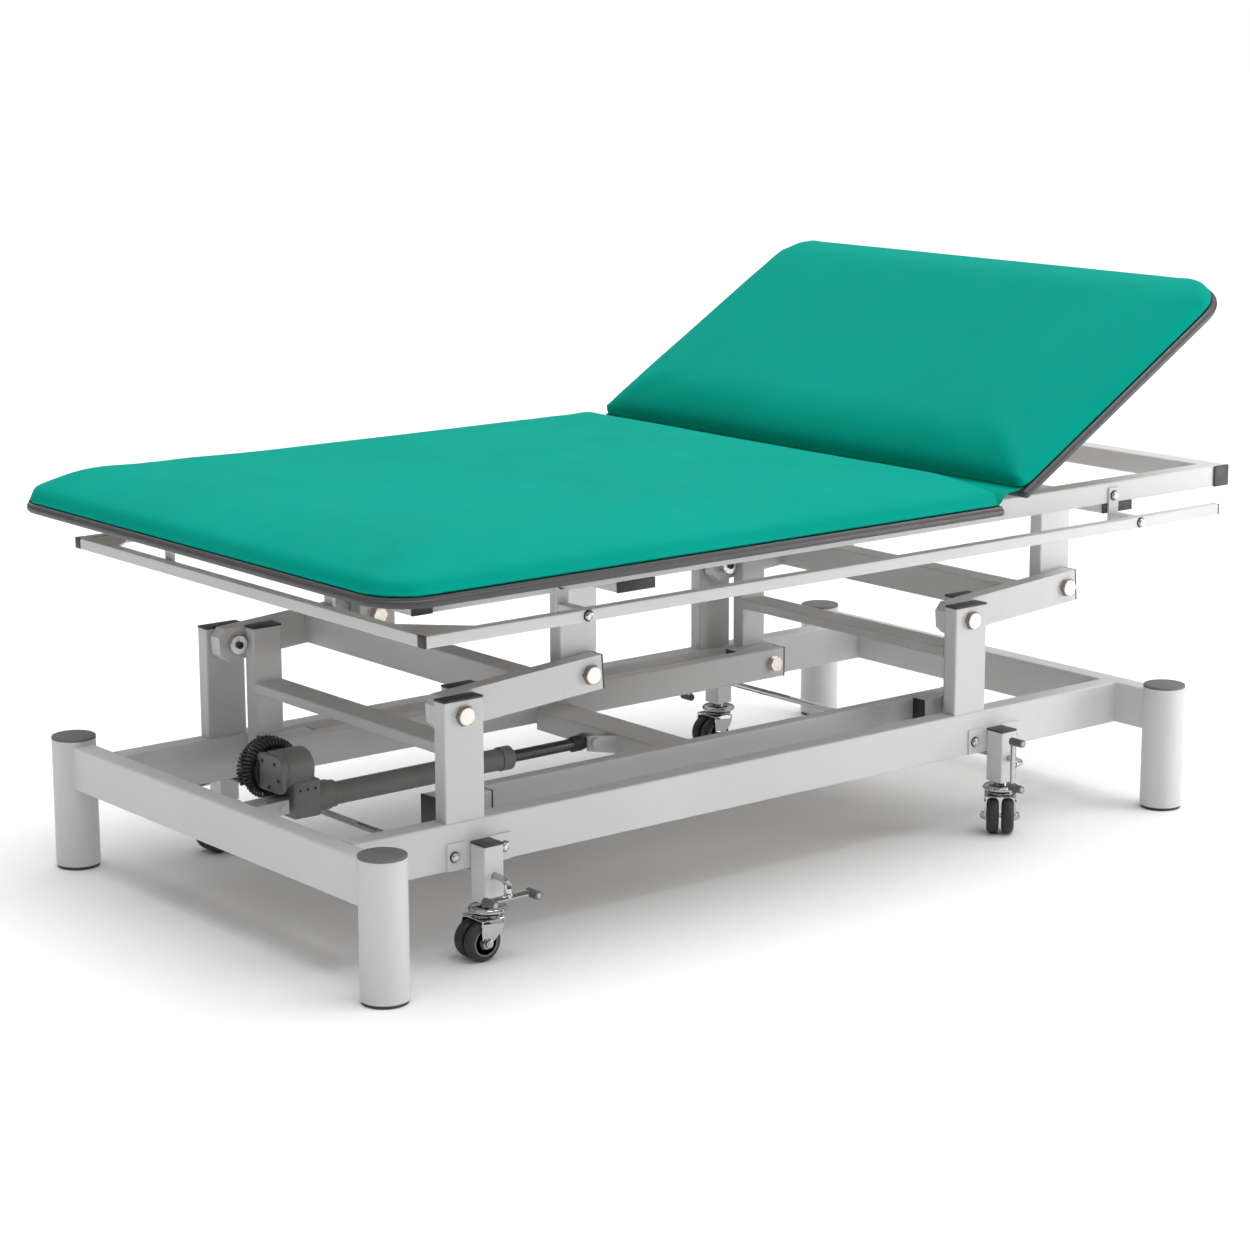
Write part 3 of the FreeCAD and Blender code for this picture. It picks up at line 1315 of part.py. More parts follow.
# Castors: sliding stem, swivelling fork and twin wheel; the pedal shaft crosses the couch.
swivels = {("foot", -1): 180.0, ("foot", 1): 180.0, ("head", -1): 225.0, ("head", 1): 180.0}
stem_low = fork_z + fork_plate + 0.2
for end, castor_x in (("foot", castor_foot_x), ("head", castor_foot_x + castor_pitch)):
    inside = socket_side - 2 * socket_wall - 2 * slide_gap
    block = box(
        f"{end}_slide_block", inside, inside, slide_tall, castor_x, -socket_y,
        slide_top - slide_tall / 2
    )
    stem = add("PartDesign::Body", f"{end}_stem_turned")
    stem_half = sketch(stem, f"{end}_stem_half", "XZ_Plane")
    polygon(
        stem_half,
        [
            (0.0, fork_z - 3.0),
            (swivel_dia / 2 + 3, fork_z - 3.0),
            (swivel_dia / 2 + 3, fork_z - 0.2),
            (swivel_dia / 2, fork_z - 0.2),
            (swivel_dia / 2, stem_low),
            (neck_dia, stem_low),
            (neck_dia, flange_z - 2),
            (neck_dia - 3, flange_z),
            (flange_dia / 2 - 2, flange_z),
            (flange_dia / 2, flange_z + 2),
            (flange_dia / 2, flange_z + 4),
            (neck_dia / 2 + 4, flange_z + flange_tall + 2),
            (neck_dia / 2, flange_z + flange_tall + 6),
            (neck_dia / 2, slide_top - slide_tall + 1),
            (0.0, slide_top - slide_tall + 1),
        ],
    )
    stem_turn = stem.newObject("PartDesign::Revolution", f"{end}_stem_revolved")
    stem_turn.Profile = stem_half
    stem_turn.ReferenceAxis = (stem_half, ["V_Axis"])
    stem_turn.Angle = 360.0
    place(stem, castor_x, -socket_y, 0.0)
    node(f"{end}_castor_stems", *both(fuse(f"{end}_stem", block, stem)))

    for side, word in ((-1, "near"), (1, "far")):
        tag = f"{end}_{word}"
        trail_turn = (castor_x, side * socket_y, 0.0, (0, 0, 1), swivels[(end, side)])
        axle_z = wheel_dia / 2 + wheel_lift
        crown_long = fork_trail + 20
        crown = box(
            f"{tag}_crown", crown_long, fork_wide, fork_plate, fork_trail / 2 - 2, 0.0,
            fork_z + fork_plate / 2
        )
        cheeks = []
        for hand in (-1, 1):
            blade = add("PartDesign::Body", f"{tag}_blade_{'a' if hand < 0 else 'b'}")
            blade_side = sketch(blade, f"{blade.Name}_side", "XZ_Plane")
            back = fork_trail / 2 - 2 - crown_long / 2
            polygon(
                blade_side,
                [
                    (back, fork_z + fork_plate),
                    (back, fork_z - 8),
                    (fork_trail - 11, axle_z - 6),
                    (fork_trail - 6, axle_z - 11),
                    (fork_trail + 6, axle_z - 11),
                    (fork_trail + 11, axle_z - 6),
                    (back + crown_long, fork_z - 6),
                    (back + crown_long, fork_z + fork_plate),
                ],
            )
            pad(blade, f"{blade.Name}_plate", blade_side, fork_plate)
            place(blade, 0.0, hand * (fork_wide - fork_plate) / 2, 0.0)
            cheeks.append(blade)
        axle = rod(
            f"{tag}_axle", axle_dia, fork_wide + 14, fork_trail, -fork_wide / 2 - 7, axle_z, "Y"
        )
        nuts = [
            hexagon(f"{tag}_nut_a", screw_flats, 5.0, fork_trail, -fork_wide / 2, axle_z, -1),
            hexagon(f"{tag}_nut_b", screw_flats, 5.0, fork_trail, fork_wide / 2, axle_z, 1),
        ]
        king_hole = rod(f"{tag}_king_hole", swivel_dia + 2 * bolt_fit, 20.0, 0.0, 0.0, fork_z - 8)
        fork = cut(f"{tag}_fork_bored", fuse(f"{tag}_fork_whole", crown, *cheeks, axle, *nuts), king_hole)
        fork_turned = add("Part::Compound", f"{tag}_fork_turned")
        fork_turned.Links = [fork]
        node(f"castor_fork_{tag}", place(fork_turned, *trail_turn))

        wheel = add("PartDesign::Body", f"{tag}_wheel_turned")
        wheel_half = sketch(wheel, f"{tag}_wheel_half", "YZ_Plane")
        hub_radius = axle_dia / 2 + axle_fit
        far_edge = tyre_gap / 2 + tyre_wide
        near_edge = tyre_gap / 2
        rim = wheel_dia / 2
        polygon(
            wheel_half,
            [
                (-far_edge, hub_radius),
                (-far_edge, 12.0),
                (-far_edge + 4, 15.0),
                (-far_edge + 4, 22.0),
                (-far_edge, 24.0),
                (-far_edge, rim - 6),
                (-far_edge + 6, rim),
                (-near_edge - 6, rim),
                (-near_edge, rim - 6),
                (-near_edge, 12.0),
                (near_edge, 12.0),
                (near_edge, rim - 6),
                (near_edge + 6, rim),
                (far_edge - 6, rim),
                (far_edge, rim - 6),
                (far_edge, 24.0),
                (far_edge - 4, 22.0),
                (far_edge - 4, 15.0),
                (far_edge, 12.0),
                (far_edge, hub_radius),
            ],
        )
        wheel_turn = wheel.newObject("PartDesign::Revolution", f"{tag}_wheel_revolved")
        wheel_turn.Profile = wheel_half
        wheel_turn.ReferenceAxis = (wheel_half, ["H_Axis"])
        wheel_turn.Angle = 360.0
        place(wheel, fork_trail, 0.0, axle_z)
        wheel_set = add("Part::Compound", f"{tag}_wheel_set")
        wheel_set.Links = [wheel]
        node(f"castor_wheel_{tag}", place(wheel_set, *trail_turn))


# Pedals: a shaft across the couch; at each end a crank, a cross bar and two grips.
bar_y = socket_y + socket_side / 2 + pedal_gap + pedal_out
for end, castor_x, turn in (
    ("foot", castor_foot_x, 0.0), ("head", castor_foot_x + castor_pitch, 90.0)
):
    shaft_half = bar_y + pedal_rod / 2
    shaft = rod(f"{end}_pedal_shaft", pedal_rod, 2 * shaft_half, 0.0, -shaft_half, 0.0, "Y")
    crank = rod(f"{end}_pedal_crank", crank_dia, pedal_drop, 0.0, -bar_y, -pedal_drop)
    cross_bar = rod(
        f"{end}_pedal_bar", pedal_rod, 2 * pedal_half, -pedal_half, -bar_y, -pedal_drop, "X"
    )
    pieces = [crank, cross_bar]
    for name, hand in (("a", -1), ("b", 1)):
        grip = rod(
            f"{end}_pedal_grip_{name}", grip_dia, grip_long, hand * pedal_half,
            -bar_y - grip_long + pedal_rod, -pedal_drop, "Y"
        )
        pieces.append(grip)
    near_pedal = fuse(f"{end}_pedal_near", *pieces)
    far_pedal = mirror(f"{end}_pedal_far", near_pedal)
    whole = fuse(f"{end}_pedal_whole", shaft, near_pedal, far_pedal)
    pedal_turned = add("Part::Compound", f"{end}_pedal_turned")
    pedal_turned.Links = [whole]
    node(f"{end}_pedal", place(pedal_turned, castor_x, 0.0, pedal_z, (0, 1, 0), turn))

doc.recompute()

# Every object has to be sound before anything is written.
for item in doc.Objects:
    if "Invalid" in item.State or "Error" in item.State:
        raise RuntimeError(f"{item.Label} failed: {item.State}")
for item in nodes:
    if item.Shape.isNull() or not item.Shape.isValid() or not item.Shape.Solids:
        raise RuntimeError(f"{item.Label} has no sound solid")

os.makedirs("parts", exist_ok=True)
for item in nodes:
    item.Shape.exportStep(f"parts/{item.Label}.step")
print(f"{len(nodes)} nodes, {sum(len(item.Shape.Solids) for item in nodes)} solids")
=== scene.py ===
"""Looks of the bobath table: finishes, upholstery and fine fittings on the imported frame.

Metres, in the part's frame: +X points to the head end, +Y to the far side, +Z up.
"""
import json
import logging
import math
from dataclasses import dataclass, field
from enum import Enum
from typing import Iterable

import bmesh
import bpy
from mathutils import Matrix, Vector, noise

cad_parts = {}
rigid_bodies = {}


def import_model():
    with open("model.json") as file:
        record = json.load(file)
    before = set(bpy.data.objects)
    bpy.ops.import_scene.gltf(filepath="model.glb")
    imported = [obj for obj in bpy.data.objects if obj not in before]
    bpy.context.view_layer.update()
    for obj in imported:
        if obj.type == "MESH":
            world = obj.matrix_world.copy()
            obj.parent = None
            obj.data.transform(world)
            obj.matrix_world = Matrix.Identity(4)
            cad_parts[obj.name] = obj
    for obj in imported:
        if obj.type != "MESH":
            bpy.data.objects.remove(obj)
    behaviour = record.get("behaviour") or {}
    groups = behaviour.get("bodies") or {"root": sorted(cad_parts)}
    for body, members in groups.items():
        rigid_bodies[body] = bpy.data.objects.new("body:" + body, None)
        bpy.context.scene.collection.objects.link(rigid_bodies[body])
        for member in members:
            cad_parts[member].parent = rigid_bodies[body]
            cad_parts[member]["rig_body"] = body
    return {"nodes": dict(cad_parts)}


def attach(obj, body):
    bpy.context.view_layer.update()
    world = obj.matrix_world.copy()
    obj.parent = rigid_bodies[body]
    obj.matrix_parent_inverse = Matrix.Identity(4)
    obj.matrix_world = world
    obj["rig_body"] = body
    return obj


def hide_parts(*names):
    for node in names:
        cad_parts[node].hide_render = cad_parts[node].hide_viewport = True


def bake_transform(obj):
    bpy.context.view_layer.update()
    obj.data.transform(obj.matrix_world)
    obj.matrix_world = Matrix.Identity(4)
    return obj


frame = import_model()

LOG = logging.getLogger("bobath_table")
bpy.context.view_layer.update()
Colour = tuple[float, float, float]
Point = tuple[float, float, float]
Profile = list[tuple[float, float]]
Shape = bmesh.types.BMesh
Socket = bpy.types.NodeSocket

PLANE_SLACK = 1e-6
FOOT_CASTOR_X = -0.713
HEAD_CASTOR_X = 0.487
CASTOR_Y = 0.409

# Place of each castor and the way it trails, in degrees from +X.
CASTORS: dict[str, tuple[float, float, float]] = {
    "foot_near": (FOOT_CASTOR_X, -CASTOR_Y, 180.0),
    "foot_far": (FOOT_CASTOR_X, CASTOR_Y, 180.0),
    "head_near": (HEAD_CASTOR_X, -CASTOR_Y, 225.0),
    "head_far": (HEAD_CASTOR_X, CASTOR_Y, 180.0),
}


class Axis(Enum):
    """Main directions of the part's frame."""

    X = (1.0, 0.0, 0.0)
    Y = (0.0, 1.0, 0.0)

    def turn(self) -> Matrix:
        """Rotation that lays a shape drawn along +Z on this axis."""
        return Vector((0.0, 0.0, 1.0)).rotation_difference(Vector(self.value)).to_matrix().to_4x4()


class Side(Enum):
    """Near side at -Y and far side at +Y."""

    NEAR = -1
    FAR = 1


# Finishes


class Recipe:
    """One node material in the making."""

    def __init__(self, name: str, colour: Colour, rough: float, metal: float = 0.0) -> None:
        """Start from a Principled shader with its plain values set.

        Args:
            name: Name of the material.
            colour: Linear base colour.
            rough: Roughness.
            metal: Metallic share.
        """
        self.material = bpy.data.materials.new(name)
        self.material.use_nodes = True
        self.tree = self.material.node_tree
        self.shader = next(n for n in self.tree.nodes if n.type == "BSDF_PRINCIPLED")
        self.set("Base Color", (*colour, 1.0))
        self.set("Roughness", rough)
        self.set("Metallic", metal)
        self.material.diffuse_color = (*colour, 1.0)
        self.where = self.add("ShaderNodeTexCoord").outputs["Object"]
        self.normal: Socket | None = None

    def set(self, socket: str, value: object) -> None:
        """Write a constant on the shader's own socket."""
        self.shader.inputs[socket].default_value = value

    def add(self, kind: str, **settings: object) -> bpy.types.Node:
        """New node with some settings."""
        node = self.tree.nodes.new(kind)
        for key, value in settings.items():
            setattr(node, key, value)
        return node

    def link(self, source: Socket, target: Socket) -> None:
        """Join two sockets."""
        self.tree.links.new(source, target)

    def scaled(self, stretch: Point) -> Socket:
        """Object coordinates, stretched along the axes."""
        mapping = self.add("ShaderNodeMapping")
        mapping.inputs["Scale"].default_value = stretch
        self.link(self.where, mapping.inputs["Vector"])
        return mapping.outputs["Vector"]

    def noise(self, scale: float, detail: float = 2.0, stretch: Point = (1.0, 1.0, 1.0)) -> Socket:
        """Cloudy pattern.

        Args:
            scale: Features per metre.
            detail: Finer layers on top.
            stretch: Scale along each axis.

        Returns:
            The pattern's value, about 0.5 on average.
        """
        texture = self.add("ShaderNodeTexNoise")
        texture.inputs["Scale"].default_value = scale
        texture.inputs["Detail"].default_value = detail
        self.link(self.scaled(stretch), texture.inputs["Vector"])
        return texture.outputs[0]

    def cells(self, scale: float, feature: str = "F1") -> Socket:
        """Distance inside small cells, as in leather grain."""
        texture = self.add("ShaderNodeTexVoronoi", feature=feature)
        texture.inputs["Scale"].default_value = scale
        self.link(self.where, texture.inputs["Vector"])
        return texture.outputs["Distance"]

    def spread(self, source: Socket, start: float, stop: float, low: float, high: float) -> Socket:
        """Map a value from one span to another, clamped."""
        node = self.add("ShaderNodeMapRange")
        for index, value in enumerate((start, stop, low, high), 1):
            node.inputs[index].default_value = value
        self.link(source, node.inputs[0])
        return node.outputs[0]

    def tint(self, amount: Socket, dark: Colour | Socket, light: Colour) -> None:
        """Let the base colour run between two colours."""
        self.link(self.blend(amount, dark, light), self.shader.inputs["Base Color"])

    def blend(self, amount: Socket, dark: Colour | Socket, light: Colour) -> Socket:
        """Colour between two others."""
        node = self.add("ShaderNodeMix", data_type="RGBA")
        self.link(amount, node.inputs[0])
        if isinstance(dark, Socket):
            self.link(dark, node.inputs[6])
        else:
            node.inputs[6].default_value = (*dark, 1.0)
        node.inputs[7].default_value = (*light, 1.0)
        return node.outputs[2]

    def rough(self, source: Socket, low: float, high: float) -> None:
        """Let the roughness follow a pattern."""
        self.link(self.spread(source, 0.3, 0.7, low, high), self.shader.inputs["Roughness"])

    def gloss(
        self, scale: float, detail: float, low: float, high: float, stretch: Point = (1.0, 1.0, 1.0)
    ) -> None:
        """Let the roughness follow a cloudy pattern."""
        self.rough(self.noise(scale, detail, stretch), low, high)

    def relief(
        self, scale: float, detail: float, depth: float, strength: float,
        stretch: Point = (1.0, 1.0, 1.0)
    ) -> None:
        """Add one layer of relief from a cloudy pattern."""
        self.bump(self.noise(scale, detail, stretch), depth, strength)

    def bump(self, height: Socket, depth: float, strength: float = 1.0) -> None:
        """Add one layer of relief of a depth in metres."""
        node = self.add("ShaderNodeBump")
        node.inputs["Strength"].default_value = strength
        node.inputs["Distance"].default_value = depth
        self.link(height, node.inputs["Height"])
        if self.normal is not None:
            self.link(self.normal, node.inputs["Normal"])
        self.normal = node.outputs["Normal"]
        self.link(self.normal, self.shader.inputs["Normal"])


def shade(colour: Colour, amount: float) -> Colour:
    """A colour made darker or lighter by a share."""
    return tuple(min(1.0, max(0.0, part * (1.0 + amount))) for part in colour)


@dataclass(frozen=True)
class Finish:
    """A surface finish; its material is made once and then shared."""

    name: str
    slot: str
    colour: Colour
    rough: float

    def build(self) -> bpy.types.Material:
        """The finish's material."""
        found = bpy.data.materials.get(self.name)
        return found or self.mix()

    def mix(self) -> bpy.types.Material:
        """Make the material with its nodes."""
        raise NotImplementedError


@dataclass(frozen=True)
class PowderCoat(Finish):
    """Satin powder coat on steel: fine orange peel, faint clouds, a few handling marks."""

    peel: float = 480.0

    def mix(self) -> bpy.types.Material:
        """Make the material with its nodes."""
        recipe = Recipe(self.name, self.colour, self.rough)
        clouds = recipe.noise(2.3, 3.0)
        rubbed = recipe.spread(recipe.noise(38.0, 5.0), 0.62, 0.78, 0.0, 0.5)
        base = recipe.blend(
            recipe.spread(clouds, 0.35, 0.65, 0.0, 1.0), shade(self.colour, -0.035),
            shade(self.colour, 0.03)
        )
        recipe.tint(rubbed, base, shade(self.colour, -0.06))
        recipe.gloss(24.0, 3.0, self.rough - 0.05, self.rough + 0.07)
        recipe.relief(self.peel, 1.0, 0.00012, 0.5)
        recipe.set("Specular IOR Level", 0.45)
        return recipe.material


@dataclass(frozen=True)
class Moulded(Finish):
    """Moulded plastic or a cast housing: fine stipple and soft cloudy gloss."""

    grain: float = 900.0
    depth: float = 0.00010

    def mix(self) -> bpy.types.Material:
        """Make the material with its nodes."""
        recipe = Recipe(self.name, self.colour, self.rough)
        recipe.tint(recipe.noise(9.0, 4.0), shade(self.colour, -0.12), shade(self.colour, 0.12))
        recipe.gloss(60.0, 3.0, self.rough - 0.06, self.rough + 0.08)
        recipe.relief(self.grain, 2.0, self.depth, 0.6)
        return recipe.material


@dataclass(frozen=True)
class Plated(Finish):
    """Plated or polished steel with faint drawn lines and small colour clouds."""

    lines: Point = (1.0, 1.0, 1.0)
    cloud: float = 0.08

    def mix(self) -> bpy.types.Material:
        """Make the material with its nodes."""
        recipe = Recipe(self.name, self.colour, self.rough, 1.0)
        dark, light = (shade(self.colour, way * self.cloud) for way in (-1.0, 1.0))
        recipe.tint(recipe.noise(42.0, 4.0), dark, light)
        recipe.gloss(150.0, 4.0, self.rough * 0.7, self.rough * 1.4, self.lines)
        recipe.relief(1300.0, 2.0, 0.00003, 0.35, self.lines)
        return recipe.material


@dataclass(frozen=True)
class Vinyl(Finish):
    """Smooth upholstery vinyl: fine leather grain over soft undulations."""

    grain: float = 760.0

    def mix(self) -> bpy.types.Material:
        """Make the material with its nodes."""
        recipe = Recipe(self.name, self.colour, self.rough)
        recipe.tint(
            recipe.spread(recipe.noise(3.2, 3.0), 0.3, 0.7, 0.0, 1.0),
            shade(self.colour, -0.045), shade(self.colour, 0.045)
        )
        recipe.gloss(16.0, 3.0, self.rough - 0.04, self.rough + 0.06)
        recipe.relief(5.0, 2.0, 0.0016, 0.5)
        recipe.bump(recipe.cells(self.grain), 0.00016, 0.55)
        recipe.relief(2400.0, 2.0, 0.00005, 0.4)
        recipe.set("Specular IOR Level", 0.035)
        return recipe.material


@dataclass(frozen=True)
class Plywood(Finish):
    """Sealed birch plywood with its grain along X."""

    def mix(self) -> bpy.types.Material:
        """Make the material with its nodes."""
        recipe = Recipe(self.name, self.colour, self.rough)
        grain = recipe.noise(9.0, 8.0, (0.35, 6.0, 6.0))
        recipe.tint(
            recipe.spread(grain, 0.35, 0.65, 0.0, 1.0), shade(self.colour, -0.22),
            shade(self.colour, 0.12)
        )
        recipe.gloss(30.0, 3.0, self.rough - 0.05, self.rough + 0.1)
        recipe.relief(60.0, 6.0, 0.0002, 0.5, (0.08, 1.0, 1.0))
        return recipe.material


@dataclass(frozen=True)
class Rubber(Finish):
    """Tyre rubber or cable jacket: dull, a little dusty, very fine relief."""

    dust: float = 0.25

    def mix(self) -> bpy.types.Material:
        """Make the material with its nodes."""
        recipe = Recipe(self.name, self.colour, self.rough)
        dusty = recipe.spread(recipe.noise(26.0, 5.0), 0.45, 0.75, 0.0, self.dust)
        recipe.tint(dusty, self.colour, (0.16, 0.15, 0.14))
        recipe.gloss(90.0, 3.0, self.rough - 0.08, self.rough + 0.08)
        recipe.relief(1500.0, 2.0, 0.00006, 0.6)
        return recipe.material


FRAME_PAINT = PowderCoat("silver_powder_coat", "frame_paint", (0.68, 0.68, 0.682), 0.42)
LEG_CAP = Moulded("grey_cap_plastic", "grey_plastic", (0.155, 0.155, 0.158), 0.55, 1100.0, 0.00014)
DRIVE_GREY = Moulded("drive_housing_grey", "grey_plastic", (0.225, 0.225, 0.222), 0.50, 700.0, 0.00012)
DARK_CAP = Moulded("dark_cap_plastic", "black_plastic", (0.045, 0.046, 0.05), 0.50)
EDGE_BAND = Moulded("dark_edge_band", "edge_band", (0.064, 0.062, 0.066), 0.42, 500.0, 0.00006)
FOOT_RUBBER = Rubber("foot_rubber", "foot_rubber", (0.045, 0.045, 0.048), 0.70)
CABLE = Rubber("coiled_cable_jacket", "foot_rubber", (0.060, 0.060, 0.060), 0.48, 0.1)
TYRE = Rubber("tyre_rubber", "wheel_rubber", (0.028, 0.028, 0.032), 0.55, 0.2)
HUB = Moulded("hub_grey", "wheel_rubber", (0.16, 0.16, 0.165), 0.45)
ZINC = Plated("zinc_plate", "bolt_zinc", (0.80, 0.74, 0.68), 0.34, (1.0, 1.0, 1.0), 0.10)
CHROME = Plated("bright_chrome", "chrome_steel", (0.52, 0.52, 0.53), 0.09, (1.0, 1.0, 1.0), 0.03)
STEEL = Plated("dark_ground_steel", "chrome_steel", (0.13, 0.13, 0.135), 0.24, (0.05, 1.0, 1.0), 0.08)
# Darker copy of the zinc for the hex heads' sides: painted shade.
ZINC_SIDE_PAINTED_SHADE = Plated("zinc_side_painted_shade", "bolt_zinc", (0.34, 0.30, 0.26), 0.42, (1.0, 1.0, 1.0), 0.12)
WASHER = Plated("pale_washer", "bolt_zinc", (0.78, 0.78, 0.79), 0.38, (1.0, 1.0, 1.0), 0.05)
GREEN = Vinyl("green_upholstery_vinyl", "green_vinyl", (0.0, 0.325, 0.250), 0.60)
PLY = Plywood("sealed_plywood", "board_wood", (0.34, 0.30, 0.255), 0.5)
STAY_BLACK = Moulded("stay_black_enamel", "stay_black", (0.02, 0.02, 0.02), 0.3, 300.0, 0.00003)
# Near-black material used only as painted shade: socket floors, rings of shadow under screw heads, hole
# spots on the gearbox and the gap in the castor races.
PAINTED_SHADE_DARK = Moulded("painted_shade_dark", "black_plastic", (0.012, 0.012, 0.013), 0.6)
GRIP = Rubber("grip_plastic", "black_plastic", (0.12, 0.12, 0.125), 0.5, 0.15)
PLUG = Moulded("light_plug", "grey_plastic", (0.45, 0.45, 0.45), 0.5)

NODE_FINISHES: dict[Finish, tuple[str, ...]] = {
    FRAME_PAINT: (
        "base_side_rails", "base_end_rails", "legs", "base_posts", "actuator_bracket", "castor_sockets",
        "foot_arms", "foot_levers", "foot_cross_tubes", "head_arms", "head_levers", "head_cross_tubes",
        "upper_side_rails", "upper_cross_rails", "hanger_cross_tubes", "hanging_posts",
        "accessory_side_rails", "accessory_foot_rail", "accessory_straps", "hinge_brackets",
        "head_hinge_straps", "push_side_tubes", "push_spacers", "push_cross_tube",
    ),
    LEG_CAP: ("leg_caps",),
    DRIVE_GREY: ("actuator_gearbox", "actuator_motor", "actuator_tube"),
    DARK_CAP: ("base_caps", "foot_swing_caps", "head_swing_caps", "push_caps", "upper_caps"),
    FOOT_RUBBER: ("foot_pads",),
    CABLE: ("motor_cable",),
    ZINC: ("base_bolts", "upper_bolts", "lever_pivot_bolts"),
    PLY: ("foot_board", "head_board"),
    EDGE_BAND: ("foot_edge_trim", "head_edge_trim"),
    GREEN: ("foot_cushion", "head_cushion"),
    STEEL: ("actuator_rod",),
    CHROME: (
        "stay_rod", "foot_castor_stems", "head_castor_stems", "foot_pedal", "head_pedal",
        *(f"castor_fork_{word}" for word in CASTORS),
    ),
    STAY_BLACK: ("stay_cylinder",),
    TYRE: tuple(f"castor_wheel_{word}" for word in CASTORS),
}


def dress_nodes() -> None:
    """Give every CAD node its finish."""
    for finish, names in NODE_FINISHES.items():
        for name in names:
            data = frame["nodes"][name].data
            data.materials.clear()
            data.materials.append(finish.build())


# Shared mesh work


def to_data(shape: Shape, name: str) -> bpy.types.Mesh:
    """Mesh data made from a bmesh, which is freed."""
    data = bpy.data.meshes.new(name)
    shape.to_mesh(data)
    shape.free()
    return data


def new_object(name: str, data: bpy.types.ID) -> bpy.types.Object:
    """Object that holds some data, linked to the scene."""
    holder = bpy.data.objects.new(name, data)
    bpy.context.scene.collection.objects.link(holder)
    return holder


def publish(
    mesh: Shape, name: str, finish: Finish, body: str, smooth: float = 35.0,
    replaces: Iterable[str] = ()
) -> bpy.types.Object:
    """Turn a bmesh into a piece that rides on a CAD body.

    Args:
        mesh: The shape in the part's frame; it is freed here.
        name: Name of the piece.
        finish: Its finish.
        body: CAD body it moves with.
        smooth: Angle in degrees past which an edge stays sharp.
        replaces: CAD nodes that it stands for.

    Returns:
        The new object.
    """
    data = to_data(mesh, name)
    data.polygons.foreach_set("use_smooth", [True] * len(data.polygons))
    data.set_sharp_from_angle(angle=math.radians(smooth))
    data.materials.append(finish.build())
    piece = new_object(name, data)
    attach(piece, body)
    if replaces:
        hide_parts(*replaces)
    LOG.info("%s: %d faces on %s", name, len(data.polygons), body)
    return piece


def outwards(mesh: Shape) -> None:
    """Merge doubles and point all faces outwards."""
    bmesh.ops.remove_doubles(mesh, verts=mesh.verts, dist=1e-6)
    bmesh.ops.recalc_face_normals(mesh, faces=mesh.faces)


def bevel(mesh: Shape, edges: list[bmesh.types.BMEdge], width: float, segments: int = 2) -> None:
    """Break edges by a round of some segments."""
    bmesh.ops.bevel(
        mesh, geom=edges, offset=width, offset_type="OFFSET", segments=segments, affect="EDGES",
        profile=0.5, material=-1, clamp_overlap=True
    )


def edges_at(shape: Shape, axis: int, level: float) -> list[bmesh.types.BMEdge]:
    """Edges that lie in the plane at one level of an axis, where 0 is X and 2 is Z."""
    return [
        edge for edge in shape.edges
        if all(abs(vert.co[axis] - level) < PLANE_SLACK for vert in edge.verts)
    ]


def add_box(mesh: Shape, low: Vector, high: Vector) -> list[bmesh.types.BMVert]:
    """Plain box between two corners."""
    stretch = Matrix.Diagonal((*(high - low), 1.0))
    made = bmesh.ops.create_cube(mesh, size=1.0, matrix=Matrix.Translation((low + high) / 2) @ stretch)
    return made["verts"]


def add_block(mesh: Shape, low: Vector, high: Vector, width: float, segments: int = 2) -> None:
    """Block between two corners with rounded edges."""
    verts = add_box(mesh, low, high)
    bevel(mesh, list({edge for vert in verts for edge in vert.link_edges}), width, segments)


def disc(radius: float, low: float, high: float, edge: float = 0.0) -> Profile:
    """Profile of a solid disc or pin.

    Args:
        radius: Radius of the disc.
        low: Height of its lower face.
        high: Height of its upper face.
        edge: Chamfer of both rims.

    Returns:
        Points for a turned shape.
    """
    if edge == 0.0:
        return [(0.0, low), (radius, low), (radius, high), (0.0, high)]
    flat = radius - edge
    return [
        (0.0, low), (flat, low), (radius, low + edge), (radius, high - edge), (flat, high), (0.0, high)
    ]


def add_lathe(mesh: Shape, profile: Profile, place: Matrix, steps: int = 48) -> None:
    """Turned shape from (radius, height) points about a placed Z axis.

    Args:
        mesh: Mesh that gets the shape.
        profile: Points from one end to the other; a radius of 0 closes the end.
        place: Where the turning axis goes.
        steps: Segments round the axis.
    """
    shape = bmesh.new()
    verts = [shape.verts.new((radius, 0.0, height)) for radius, height in profile]
    edges = [shape.edges.new(pair) for pair in zip(verts, verts[1:])]
    bmesh.ops.spin(
        shape, geom=verts + edges, cent=(0, 0, 0), axis=(0, 0, 1), dvec=(0, 0, 0),
        angle=2 * math.pi, steps=steps, use_merge=True, use_duplicate=False
    )
    outwards(shape)
    bmesh.ops.transform(shape, matrix=place, verts=shape.verts)
    merge_into(mesh, shape)


def merge_into(mesh: Shape, shape: Shape) -> None:
    """Add one bmesh to another and free it."""
    data = to_data(shape, "scratch")
    mesh.from_mesh(data)
    bpy.data.meshes.remove(data)


def add_hex_head(mesh: Shape, flats: float, tall: float, place: Matrix, chamfer: float = 0.12) -> None:
    """Hexagon head with its outer corners turned off.

    Args:
        mesh: Mesh that gets the head.
        flats: Width across flats.
        tall: Height along the placed Z axis.
        place: Where the seat's centre goes.
        chamfer: Depth of the turned edge as a share of the height.
    """
    radius = flats / math.sqrt(3)
    shape = bmesh.new()
    bmesh.ops.create_cone(
        shape, cap_ends=True, cap_tris=False, segments=6, radius1=radius, radius2=radius, depth=tall,
        matrix=Matrix.Translation((0, 0, tall / 2)) @ Matrix.Rotation(math.pi / 6, 4, "Z")
    )
    bevel(shape, edges_at(shape, 2, tall), tall * chamfer, 2)
    bmesh.ops.recalc_face_normals(shape, faces=shape.faces)
    bmesh.ops.transform(shape, matrix=place, verts=shape.verts)
    merge_into(mesh, shape)


